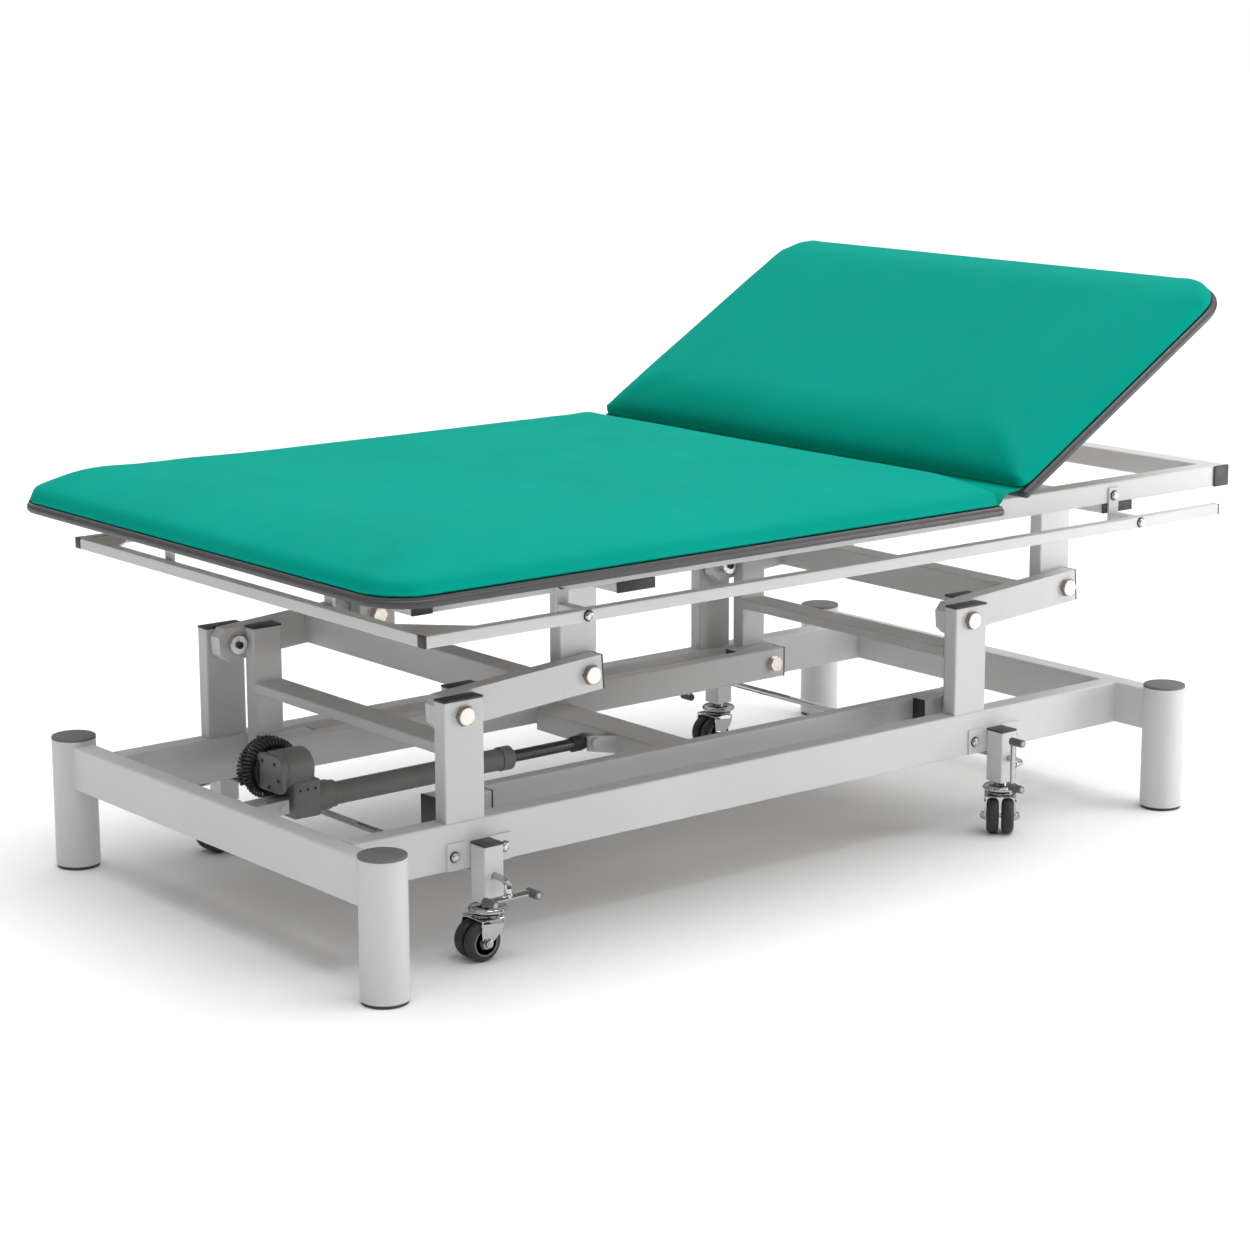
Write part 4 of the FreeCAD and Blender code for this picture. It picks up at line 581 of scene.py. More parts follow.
def add_turned_face(mesh: Shape, flats: float, tall: float, place: Matrix) -> None:
    """Round turned face on top of a hexagon head, seated 2 mm deep in it."""
    face = flats / 2
    top = tall + 0.0008
    seat = tall - 0.0020
    profile = [(0.0, top), (face * 0.93, top), (face, top - 0.0010), (face, seat), (0.0, seat)]
    add_lathe(mesh, profile, place, 40)


def add_socket_screw(bright: Shape, dark: Shape, radius: float, tall: float, place: Matrix) -> None:
    """Button screw with a deep socket; a thin near-black ring round its seat is painted shadow, and a
    near-black disc on the socket's floor is painted shade.

    Args:
        bright: Mesh that gets the head.
        dark: Mesh that gets the painted shadow ring and the painted shade on the socket's floor.
        radius: Radius of the head.
        tall: Height of the head over its seat.
        place: Where the seat's centre goes.
    """
    hole = radius * 0.42
    floor = tall * 0.45
    add_lathe(
        bright,
        [(0.0, floor), (hole, floor), (hole, tall - 0.0002), (hole + 0.0004, tall),
         (radius * 0.68, tall), (radius * 0.88, tall * 0.82), (radius * 0.99, tall * 0.5),
         (radius, tall * 0.2), (radius, 0.0002), (0.0, 0.0002)],
        place, 32
    )
    # Near-black disc on the socket's floor: painted shade.
    add_lathe(dark, disc(hole * 0.94, floor - 0.0004, floor + 0.0003), place, 6)
    # Thin near-black ring round the head: painted shadow.
    rim = radius + 0.0016
    washer = [
        (radius * 0.5, 0.0), (rim, 0.0), (rim, 0.0008), (rim - 0.0004, 0.0012), (radius * 0.5, 0.0012),
        (radius * 0.5, 0.0)
    ]
    add_lathe(dark, washer, place, 32)


def add_washer(mesh: Shape, outer: float, inner: float, thick: float, place: Matrix) -> None:
    """Flat washer with broken edges, its seat at the placed origin."""
    edge = thick * 0.25
    add_lathe(
        mesh,
        [(inner, 0.0), (outer, 0.0), (outer, thick - edge), (outer - edge, thick), (inner, thick),
         (inner, 0.0)],
        place, 44
    )


def facing(x: float, y: float, z: float, side: Side) -> Matrix:
    """Place that looks out along -Y on the near side and +Y on the far side."""
    turn = Matrix.Rotation(math.pi / 2 if side is Side.NEAR else -math.pi / 2, 4, "X")
    return Matrix.Translation((x, y, z)) @ turn


def tube_mesh(points: list[Vector], radius: float, sides: int) -> Shape:
    """Round bar swept along points.

    Args:
        points: Centre line.
        radius: Radius of the bar.
        sides: Corners of its section.

    Returns:
        The swept shape.
    """
    curve = bpy.data.curves.new("scratch_line", "CURVE")
    curve.dimensions = "3D"
    curve.bevel_depth = radius
    curve.bevel_resolution = max(0, sides // 4 - 1)
    curve.use_fill_caps = True
    line = curve.splines.new("POLY")
    line.points.add(len(points) - 1)
    for target, point in zip(line.points, points):
        target.co = (*point, 1.0)
    holder = bpy.data.objects.new("scratch_line", curve)
    data = bpy.data.meshes.new_from_object(holder)
    shape = bmesh.new()
    shape.from_mesh(data)
    bpy.data.objects.remove(holder)
    bpy.data.meshes.remove(data)
    bpy.data.curves.remove(curve)
    outwards(shape)
    return shape


def rounded_line(corners: list[Vector], radius: float, steps: int = 8) -> list[Vector]:
    """Straight runs through corners, with each inner corner turned into an arc."""
    line = [corners[0]]
    for before, corner, after in zip(corners, corners[1:], corners[2:]):
        back = (before - corner).normalized()
        ahead = (after - corner).normalized()
        half = (math.pi - back.angle(ahead)) / 2
        reach = radius * math.tan(half)
        start = corner + back * reach
        stop = corner + ahead * reach
        centre = corner + (back + ahead).normalized() * (radius / math.cos(half))
        for number in range(steps + 1):
            arm = (start - centre).slerp(stop - centre, number / steps)
            line.append(centre + arm.normalized() * radius)
    line.append(corners[-1])
    return line


@dataclass
class BrokenEdges:
    """A CAD node's own shape with its sharp edges broken, as on the made part."""

    node: str
    finish: Finish
    width: float = 0.0006
    segments: int = 2
    sharp: float = 40.0

    def build(self) -> bpy.types.Object:
        """Make the piece from a merged copy of the node's mesh."""
        shape = bmesh.new()
        shape.from_mesh(frame["nodes"][self.node].data)
        bmesh.ops.remove_doubles(shape, verts=shape.verts, dist=2e-5)
        bmesh.ops.dissolve_limit(
            shape, angle_limit=math.radians(0.6), verts=shape.verts, edges=shape.edges
        )
        limit = math.radians(self.sharp)
        edges = [
            edge for edge in shape.edges
            if edge.is_manifold and edge.is_convex and edge.calc_face_angle(0.0) > limit
        ]
        bevel(shape, edges, self.width, self.segments)
        body = frame["nodes"][self.node]["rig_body"]
        return publish(shape, f"{self.node}_finished", self.finish, body, 35.0, (self.node,))


# Upholstery


@dataclass
class Section:
    """Plan of one deck section, drawn level and then lifted to its place."""

    word: str
    body: str
    start: float
    stop: float
    half: float
    low: float
    corner: float
    round_at_stop: bool
    lift: Matrix

    @property
    def round_end(self) -> float:
        """Place along the couch of the end with the large corners."""
        return self.stop if self.round_at_stop else self.start


@dataclass
class Cushion(Section):
    """Foam pad under stretched vinyl, wrapped over the board's edge."""

    tall: float = 0.057
    edge_share: float = 0.24
    slope: float = 0.125
    hinge_slope: float = 0.032
    swell: float = 0.0055
    swell_frames: int = 20
    voxel: float = 0.012
    still_rim: float = 0.014
    fold_depth: float = 0.0007
    fold_count: float = 34.0

    @property
    def name(self) -> str:
        """Name of the piece."""
        return f"{self.word}_upholstery"

    def inset(self, x: float, y: float) -> float:
        """Distance from the cushion's rim in plan.

        Args:
            x: Place along the couch.
            y: Place across it.

        Returns:
            The distance, 0 on the rim.
        """
        ahead = self.stop - x
        behind = x - self.start
        across = self.half - abs(y)
        near, hinged = (ahead, behind) if self.round_at_stop else (behind, ahead)
        if near < self.corner and across < self.corner:
            return self.corner - math.hypot(self.corner - near, self.corner - across)
        return min(near, hinged * self.slope / self.hinge_slope, across)

    def crown(self, holder: bpy.types.Object) -> None:
        """Lower the upper face towards the rim, as tight vinyl pulls the foam down."""
        for vert in holder.data.vertices:
            co = vert.co
            short = 1.0 - min(1.0, max(0.0, self.inset(co.x, co.y)) / self.slope)
            share = self.edge_share + (1.0 - self.edge_share) * math.sqrt(max(0.0, 1.0 - short ** 2.4))
            co.z = self.low + (co.z - self.low) * share
        self.even_out(holder, 26)

    def even_out(self, holder: bpy.types.Object, rounds: int) -> None:
        """Average the upper face's heights with their neighbours, away from the rim."""
        shape = bmesh.new()
        shape.from_mesh(holder.data)
        floor = self.low + 0.25 * self.edge_share * self.tall
        free = [v for v in shape.verts if v.co.z > floor and self.inset(v.co.x, v.co.y) > self.still_rim]
        beside = [[edge.other_vert(vert) for edge in vert.link_edges] for vert in free]
        for _ in range(rounds):
            heights = [sum(v.co.z for v in near) / len(near) for near in beside]
            for vert, height in zip(free, heights):
                vert.co.z += 0.6 * (height - vert.co.z)
        shape.to_mesh(holder.data)
        shape.free()

    def outline(self) -> Shape:
        """Plate with rounded corners, a rolled top edge and a tucked lower edge."""
        shape = bmesh.new()
        size = Vector((self.stop - self.start, 2 * self.half, self.tall))
        middle = Vector(((self.stop + self.start) / 2, 0.0, self.low + self.tall / 2))
        bmesh.ops.create_cube(
            shape, size=1.0, matrix=Matrix.Translation(middle) @ Matrix.Diagonal((*size, 1.0))
        )
        upright = [
            edge for edge in shape.edges
            if (edge.verts[0].co - edge.verts[1].co).xy.length < PLANE_SLACK
        ]
        big = [e for e in upright if abs(e.verts[0].co.x - self.round_end) < PLANE_SLACK]
        small = [edge for edge in upright if edge not in big]
        bevel(shape, big, self.corner, 12)
        bevel(shape, [edge for edge in small if edge.is_valid], 0.012, 4)
        bevel(shape, edges_at(shape, 2, self.low + self.tall), 0.012, 3)
        bevel(shape, edges_at(shape, 2, self.low), 0.006, 2)
        bmesh.ops.triangulate(shape, faces=[face for face in shape.faces if len(face.verts) > 4])
        return shape

    def remeshed(self) -> bpy.types.Object:
        """The outline as an even mesh of small faces."""
        cage = new_object(f"{self.name}_cage", to_data(self.outline(), f"{self.name}_cage"))
        even = cage.modifiers.new("even", "REMESH")
        even.mode = "VOXEL"
        even.voxel_size = self.voxel
        return self.applied(cage)

    @staticmethod
    def applied(holder: bpy.types.Object) -> bpy.types.Object:
        """Bake an object's modifiers into its mesh."""
        graph = bpy.context.evaluated_depsgraph_get()
        graph.update()
        data = bpy.data.meshes.new_from_object(holder.evaluated_get(graph))
        holder.modifiers.clear()
        old = holder.data
        holder.data = data
        bpy.data.meshes.remove(old)
        return holder

    def inflate(self, holder: bpy.types.Object) -> None:
        """Let the vinyl swell over its foam with the lower face held on the board."""
        rest = [vert.co.copy() for vert in holder.data.vertices]
        held = holder.vertex_groups.new(name="held")
        held.add([n for n, co in enumerate(rest) if co.z < self.low + 0.004], 1.0, "REPLACE")
        cloth = holder.modifiers.new("cloth", "CLOTH")
        settings = cloth.settings
        settings.quality = 4
        settings.mass = 0.4
        settings.tension_stiffness = 18
        settings.compression_stiffness = 18
        settings.shear_stiffness = 8
        settings.bending_stiffness = 1.5
        settings.use_pressure = True
        settings.uniform_pressure_force = 4.0
        settings.vertex_group_mass = "held"
        settings.effector_weights.gravity = 0.0
        cloth.point_cache.frame_start = 1
        cloth.point_cache.frame_end = self.swell_frames
        scene = bpy.context.scene
        for number in range(1, self.swell_frames + 1):
            scene.frame_set(number)
        graph = bpy.context.evaluated_depsgraph_get()
        swollen = [vert.co.copy() for vert in holder.evaluated_get(graph).data.vertices]
        holder.modifiers.clear()
        scene.frame_set(1)
        for vert, old, new in zip(holder.data.vertices, rest, swollen):
            move = new - old
            reach = move.length
            if reach > 1e-9:
                vert.co = old + move * (self.swell * math.tanh(reach / self.swell) / reach)
        self.even_out(holder, 6)
        LOG.info("%s swelled", self.name)

    def dress(self, holder: bpy.types.Object) -> None:
        """Add the soft unevenness of foam and the small folds at the round corners."""
        inward = -1.0 if self.round_at_stop else 1.0
        floor = self.low + 0.0002
        for vert in holder.data.vertices:
            co = vert.co
            above = max(0.0, min(1.0, (co.z - self.low) / self.tall))
            co.z += 0.0010 * above * noise.noise(Vector((co.x * 4.0, co.y * 4.0, 0.3)))
            for side in (-1.0, 1.0):
                centre = Vector((self.round_end + inward * self.corner, side * (self.half - self.corner)))
                arm = Vector((co.x, co.y)) - centre
                outside = arm.x * inward < 0.0 and arm.y * side > 0.0
                if outside and arm.length > self.corner * 0.8 and above < 0.75:
                    turn = math.atan2(abs(arm.x), abs(arm.y))
                    ripple = math.sin(turn * self.fold_count + 1.3 * math.sin(turn * 5.0))
                    fold = ripple * math.sin(2.0 * turn)
                    push = self.fold_depth * fold * (1.0 - above / 0.75)
                    co.x += arm.normalized().x * push
                    co.y += arm.normalized().y * push
            co.z = max(co.z, floor)

    def build(self) -> bpy.types.Object:
        """Make the cushion and put it in place of its CAD solid."""
        holder = self.remeshed()
        self.crown(holder)
        self.inflate(holder)
        self.dress(holder)
        smooth = holder.modifiers.new("smooth", "SUBSURF")
        smooth.levels = 1
        smooth.render_levels = 1
        holder = self.applied(holder)
        holder.name = self.name
        holder.vertex_groups.clear()
        holder.data.transform(self.lift)
        holder.data.polygons.foreach_set("use_smooth", [True] * len(holder.data.polygons))
        holder.data.materials.append(GREEN.build())
        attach(holder, self.body)
        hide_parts(f"{self.word}_cushion")
        LOG.info("%s: %d faces", self.name, len(holder.data.polygons))
        return holder

@dataclass
class EdgeBand(Section):
    """Dark band round one board, with a rounded nose and a lip over the board's rim."""

    thick: float = 0.0128
    board: float = 0.016
    nose_depth: float = 0.0034
    nose_steps: int = 10
    ridge: float = 0.012
    overlap: float = 0.0039
    hinge_corner: float = 0.006

    def rim(self) -> list[Vector]:
        """Outline of the board's edge, corner by corner."""
        line: list[Vector] = []
        for along, across in ((self.start, -1), (self.stop, -1), (self.stop, 1), (self.start, 1)):
            radius, steps = (self.corner, 14) if along == self.round_end else (self.hinge_corner, 4)
            way = 1 if along == self.stop else -1
            centre = Vector((along - way * radius, across * (self.half - radius), 0.0))
            first = math.atan2(across, 0.0) if way * across < 0 else math.atan2(0.0, way)
            for number in range(steps + 1):
                angle = first + math.pi / 2 * number / steps
                line.append(centre + Vector((math.cos(angle), math.sin(angle), 0.0)) * radius)
        return line

    def build(self) -> bpy.types.Object:
        """Sweep the band's section round the rim."""
        rim = self.rim()
        nose = self.thick / 2
        depth = self.nose_depth
        steps = self.nose_steps
        turns = [math.radians(-90 + 180 * number / steps) for number in range(steps + 1)]
        section = [(depth * (math.cos(turn) - 1.0), nose + nose * math.sin(turn)) for turn in turns]
        over = self.board + 0.0006
        on_board = self.board + 0.0001
        section += [
            (-depth, self.thick), (-depth, over), (-self.ridge, over), (-self.ridge, on_board),
            (-self.overlap, on_board), (-self.overlap, 0.0)
        ]
        shape = bmesh.new()
        rings = []
        count = len(rim)
        for number, point in enumerate(rim):
            ahead = (rim[(number + 1) % count] - rim[number - 1]).normalized()
            out = Vector((ahead.y, -ahead.x, 0.0))
            rings.append([
                shape.verts.new(point + out * across + Vector((0.0, 0.0, self.low + up)))
                for across, up in section
            ])
        for ring, after in zip(rings, rings[1:] + rings[:1]):
            for number in range(len(section)):
                other = (number + 1) % len(section)
                shape.faces.new((ring[number], after[number], after[other], ring[other]))
        outwards(shape)
        bmesh.ops.transform(shape, matrix=self.lift, verts=shape.verts)
        trim = f"{self.word}_edge_trim"
        return publish(shape, f"{self.word}_edge_band", EDGE_BAND, self.body, 50.0, (trim,))


@dataclass
class Deck:
    """Both upholstered sections of the lying surface."""

    half: float = 0.600
    foot_start: float = -1.026
    foot_stop: float = 0.287
    low: float = 0.6513
    board: float = 0.016
    corner: float = 0.085
    inset: float = 0.0045
    pad_seat: float = 0.0003
    hinge: Vector = field(default_factory=lambda: Vector((0.2965, 0.0, 0.677)))
    head_gap: float = 0.0375
    head_long: float = 0.630
    head_rise: float = math.radians(31.0)

    def lift(self) -> Matrix:
        """Place of the head section, drawn flat in its hinge's own frame."""
        return Matrix.Translation(self.hinge) @ Matrix.Rotation(-self.head_rise, 4, "Y")

    def build(self) -> None:
        """Make the cushions and edge bands."""
        inset = self.inset
        for word, body, start, stop, low, round_at_stop, lift in (
            ("foot", "upper_frame", self.foot_start, self.foot_stop, self.low, False,
             Matrix.Identity(4)),
            ("head", "head_section", self.head_gap, self.head_gap + self.head_long,
             self.low - self.hinge.z, True, self.lift()),
        ):
            band = EdgeBand(word, body, start, stop, self.half, low, self.corner, round_at_stop, lift)
            band.build()
            Cushion(
                word, body, start + inset, stop - inset, self.half - inset,
                low + self.board + self.pad_seat, self.corner - inset, round_at_stop, lift
            ).build()


# Fasteners


@dataclass
class Fasteners:
    """Bolt heads, washers and screws that the eye meets on the frame."""

    flats: float = 0.0305
    head: float = 0.0096
    post_x: tuple[float, float] = (-0.736, 0.428)
    post_z: float = 0.408
    post_y: float = 0.382
    inner_y: float = 0.307
    tip_x: tuple[float, float] = (-0.4477, 0.7163)
    tip_z: float = 0.42816
    tip_y: float = 0.3497
    plate_x: tuple[float, ...] = (-0.764, -0.662, 0.436, 0.538)
    plate_y: float = 0.389
    plate_z: float = 0.175
    strap_x: tuple[float, float] = (-0.606, 0.701)
    strap_seats: tuple[tuple[float, float], ...] = ((0.478, 0.626), (0.546, 0.584))
    washer: tuple[float, float, float] = (0.0172, 0.0040, 0.0024)
    screw_radius: float = 0.0082
    screw_head: float = 0.0062

    def heads(self) -> None:
        """Large hexagon heads with a pale turned face at every swing arm's pivots; the hex sides get a
        darker copy of the zinc as painted shade.
        """
        for body, places, z, reach in (
            ("base", self.post_x, self.post_z, self.post_y),
            ("upper_frame", self.tip_x, self.tip_z, self.tip_y)
        ):
            sides = bmesh.new()
            faces = bmesh.new()
            for x in places:
                for side in Side:
                    place = facing(x, side.value * reach, z, side)
                    add_hex_head(sides, self.flats, self.head, place)
                    add_turned_face(faces, self.flats, self.head, place)
            # Hex sides in the darker zinc: painted shade.
            publish(sides, f"{body}_bolt_sides", ZINC_SIDE_PAINTED_SHADE, body)
            publish(faces, f"{body}_bolt_faces", ZINC, body)

    def inner_ends(self) -> None:
        """Wide washer and socket bolt at the inner end of each main pivot."""
        washers = bmesh.new()
        dark = bmesh.new()
        socket_bolt = [
            (0.0, 0.0018), (0.0036, 0.0018), (0.0036, 0.0046), (0.0060, 0.0046), (0.0068, 0.0038),
            (0.0068, -0.0004), (0.0, -0.0004)
        ]
        for x in self.post_x:
            for side in Side:
                inward = Side.FAR if side is Side.NEAR else Side.NEAR
                place = facing(x, side.value * self.inner_y, self.post_z, inward)
                add_washer(washers, *self.washer, place)
                lifted = place @ Matrix.Translation((0.0, 0.0, self.washer[2]))
                add_lathe(dark, socket_bolt, lifted, 24)
        publish(washers, "pivot_washers", WASHER, "base")
        publish(dark, "pivot_socket_bolts", DARK_CAP, "base")

    def screws(self) -> None:
        """Socket screws on the castor plates and on the accessory rails' straps."""
        seats = {
            "base": [(x, self.plate_y, self.plate_z) for x in self.plate_x],
            "upper_frame": [(x, y, z) for x in self.strap_x for y, z in self.strap_seats],
        }
        for body, places in seats.items():
            bright = bmesh.new()
            dark = bmesh.new()
            for x, y, z in places:
                for side in Side:
                    place = facing(x, side.value * y, z, side)
                    add_socket_screw(bright, dark, self.screw_radius, self.screw_head, place)
            publish(bright, f"{body}_socket_screws", CHROME, body)
            # Painted shadow rings and painted shade on the socket floors.
            publish(dark, f"{body}_screw_painted_shade", PAINTED_SHADE_DARK, body)

    def build(self) -> None:
        """Make all fasteners."""
        self.heads()
        self.inner_ends()
        self.screws()


@dataclass(frozen=True)
class Block:
    """Rounded block between two corners."""

    low: Point
    high: Point
    edge: float
    steps: int

    def add_to(self, mesh: Shape) -> None:
        """Put the block in a mesh."""
        add_block(mesh, Vector(self.low), Vector(self.high), self.edge, self.steps)


@dataclass
class Drive:
    """Motor drum with its end plate, coiled lead and the nut on the rod."""

    housing: Block = Block((-0.840, -0.028, 0.172), (-0.785, 0.028, 0.238), 0.0045, 4)
    saddle: Block = Block((-0.842, -0.021, 0.226), (-0.792, 0.021, 0.250), 0.004, 3)
    rear_eye: Block = Block((-0.874, -0.0115, 0.184), (-0.836, 0.0115, 0.211), 0.006, 4)
    axis: Vector = field(default_factory=lambda: Vector((0.0, 0.0, 0.259)))
    drum: float = 0.034
    back: float = -0.797
    front: float = -0.864
    plate: tuple[float, float] = (0.042, 0.032)
    plate_thick: float = 0.0085
    plate_round: float = 0.016
    plate_drop: float = 0.004
    plate_screws: int = 5
    screw_circle: tuple[float, float] = (0.032, 0.024)
    ring_centre: Vector = field(default_factory=lambda: Vector((-0.842, 0.047, 0.251)))
    ring: float = 0.046
    jacket: float = 0.0024
    coil: float = 0.0068
    turns: float = 1.9
    pitch: float = 0.0062
    steps_per_coil: int = 11
    first_turn: float = math.radians(250)
    lead_drum: tuple[float, float] = (0.0375, 0.018)
    neck: Vector = field(default_factory=lambda: Vector((-0.787, 0.0, 0.1985)))
    socket_x: tuple[float, ...] = (-0.828, -0.8125, -0.797)
    socket_z: float = 0.2225
    cheek: float = 0.028
    nut: Vector = field(default_factory=lambda: Vector((-0.221, 0.0, 0.1998)))
    nut_radius: float = 0.0138
    nut_grooves: tuple[float, ...] = (0.006, 0.0125, 0.019)
    nut_slots: int = 6

    def motor(self) -> None:
        """Drum along the couch with a rounded back, and its screwed end plate."""
        shape = bmesh.new()
        place = Matrix.Translation((self.front, self.axis.y, self.axis.z)) @ Axis.X.turn()
        long = self.back - self.front
        r = self.drum
        groove = r - 0.0008
        barrel = [
            (0.0, 0.0), (r, 0.0), (r, 0.010), (groove, 0.0105), (groove, 0.0125), (r, 0.013),
            (r, long - 0.010), (r - 0.0012, long - 0.005), (r - 0.0045, long - 0.0015),
            (r - 0.010, long), (0.0, long)
        ]
        add_lathe(shape, barrel, place, 64)
        wide, high_half = self.plate
        middle = self.axis.z - self.plate_drop
        plate = bmesh.new()
        low = Vector((self.front - self.plate_thick, -wide, middle - high_half))
        add_box(plate, low, Vector((self.front, wide, middle + high_half)))
        half_thick = self.plate_thick / 2
        along = [e for e in plate.edges if abs(e.verts[0].co.x - e.verts[1].co.x) > half_thick]
        bevel(plate, along, self.plate_round, 6)
        bevel(plate, edges_at(plate, 0, low.x), 0.0018, 2)
        bmesh.ops.recalc_face_normals(plate, faces=plate.faces)
        merge_into(shape, plate)
        publish(shape, "motor_drum", DRIVE_GREY, "actuator", 32.0, ("actuator_motor",))
        screws = bmesh.new()
        screw = [
            (0.0, 0.0006), (0.0012, 0.0006), (0.0012, 0.0020), (0.0027, 0.0020), (0.0032, 0.0014),
            (0.0032, -0.0004), (0.0, -0.0004)
        ]
        wide, high_half = self.screw_circle
        for number in range(self.plate_screws):
            turn = math.radians(54 + 360 * number / self.plate_screws)
            spot = (low.x, wide * math.cos(turn), middle + high_half * math.sin(turn))
            seat = Matrix.Translation(spot) @ Axis.X.turn() @ Matrix.Rotation(math.pi, 4, "Y")
            add_lathe(screws, screw, seat, 20)
        publish(screws, "motor_plate_screws", DARK_CAP, "actuator")

    def lead_line(self) -> list[Vector]:
        """Centre line of the small coils along the large winding."""
        length = self.turns * 2 * math.pi * self.ring
        coils = length / self.pitch
        total = int(coils * self.steps_per_coil)
        points = []
        for number in range(total + 1):
            share = number / total
            large = 2 * math.pi * self.turns * share + self.first_turn
            small = 2 * math.pi * coils * share
            out = Vector((math.cos(large), 0.0, math.sin(large)))
            along = Vector((0.0, 1.0, 0.0))
            shift = (share - 0.5) * 2.1 * (self.coil + self.jacket) * self.turns
            spot = self.ring_centre + out * self.ring + along * shift
            points.append(spot + (out * math.cos(small) + along * math.sin(small)) * self.coil)
        return points

    def gearbox(self) -> None:
        """Cast housing under the motor with its neck and rear eye, and three socket rims round near-black
        discs of painted shade that stand for the holes.
        """
        shape = bmesh.new()
        for block in (self.housing, self.saddle, self.rear_eye):
            block.add_to(shape)
        neck = [
            (0.0, 0.0), (0.0265, 0.0), (0.0265, 0.030), (0.0255, 0.0325), (0.0240, 0.034),
            (0.0240, 0.043), (0.0228, 0.0445), (0.0, 0.0445)
        ]
        add_lathe(shape, neck, Matrix.Translation(self.neck) @ Axis.X.turn(), 48)
        publish(shape, "drive_gearbox", DRIVE_GREY, "actuator", 32.0, ("actuator_gearbox",))
        drum = bmesh.new()
        radius, half = self.lead_drum
        place = Matrix.Translation(self.ring_centre) @ Axis.Y.turn()
        add_lathe(drum, disc(radius, -half, half, 0.0015), place, 48)
        publish(drum, "lead_drum", DARK_CAP, "actuator", 32.0)
        rims = bmesh.new()
        painted_hole_shade = bmesh.new()
        rim = [
            (0.0026, 0.0002), (0.0026, 0.0008), (0.0046, 0.0008), (0.0050, 0.0004), (0.0050, -0.0006),
            (0.0026, -0.0006), (0.0026, 0.0002)
        ]
        for x in self.socket_x:
            place = facing(x, -self.cheek, self.socket_z, Side.NEAR)
            add_lathe(rims, rim, place, 24)
            # Flat near-black disc inside each rim: painted shade for the hole.
            add_lathe(painted_hole_shade, disc(0.0038, -0.0005, 0.0005), place, 24)
        publish(rims, "gearbox_socket_rims", DRIVE_GREY, "actuator")
        publish(painted_hole_shade, "gearbox_socket_painted_shade", PAINTED_SHADE_DARK, "actuator")

    def lead(self) -> None:
        """Coiled cable wound round its drum behind the motor."""
        shape = tube_mesh(self.lead_line(), self.jacket, 8)
        publish(shape, "coiled_motor_lead", CABLE, "actuator", 60.0, ("motor_cable",))

    def lock_nut(self) -> None:
        """Grooved and ribbed lock nut where the rod meets its eye."""
        shape = bmesh.new()
        r = self.nut_radius
        place = Matrix.Translation(self.nut) @ Axis.X.turn()
        profile = [(0.0, 0.0), (r - 0.0015, 0.0), (r, 0.0015)]
        for start in self.nut_grooves:
            floor = r - 0.0014
            profile += [(r, start), (floor, start + 0.0004), (floor, start + 0.0022), (r, start + 0.0026)]
        profile += [(r, 0.0255), (r - 0.0015, 0.027), (0.0, 0.027)]
        add_lathe(shape, profile, place, 40)
        rib = Matrix.Translation((r, 0.0, 0.0135)) @ Matrix.Diagonal((0.0016, 0.004, 0.024, 1.0))
        for number in range(self.nut_slots):
            turn = Matrix.Rotation(math.radians(360 * number / self.nut_slots), 4, "Z")
            bmesh.ops.create_cube(shape, size=1.0, matrix=place @ turn @ rib)
        publish(shape, "rod_lock_nut", DARK_CAP, "actuator_rod", 30.0)

    def build(self) -> None:
        """Make the drive's fine parts."""
        self.motor()
        self.gearbox()
        self.lead()
        self.lock_nut()


@dataclass
class CastorFlanges:
    """Lifting stem with a domed flange, a race cap and painted shade in the gap between them, on each
    castor of one end.
    """

    end: str
    x: float
    y: float = CASTOR_Y

    def build(self) -> None:
        """Turn the stems."""
        bright = bmesh.new()
        dark = bmesh.new()
        stem = [
            (0.0, 0.134), (0.0115, 0.134), (0.0125, 0.1325), (0.0125, 0.0900), (0.0240, 0.0900),
            (0.0295, 0.0890), (0.0328, 0.0868), (0.0340, 0.0842), (0.0334, 0.0815), (0.0310, 0.0797),
            (0.0280, 0.0790), (0.0, 0.0790)
        ]
        race_cap = [
            (0.0, 0.0768), (0.0235, 0.0768), (0.0262, 0.0760), (0.0268, 0.0748), (0.0262, 0.0735),
            (0.0, 0.0735)
        ]
        for side in Side:
            place = Matrix.Translation((self.x, side.value * self.y, 0.0))
            add_lathe(bright, stem, place, 56)
            add_lathe(bright, race_cap, place, 56)
            # Near-black disc in the gap between flange and race cap: painted shade.
            add_lathe(dark, disc(0.0215, 0.0766, 0.0792), place, 40)
        body = frame["nodes"][f"{self.end}_castor_stems"]["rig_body"]
        publish(bright, f"{self.end}_castor_flanges", CHROME, body, 32.0, (f"{self.end}_castor_stems",))
        publish(dark, f"{self.end}_castor_race_painted_shade", PAINTED_SHADE_DARK, body)


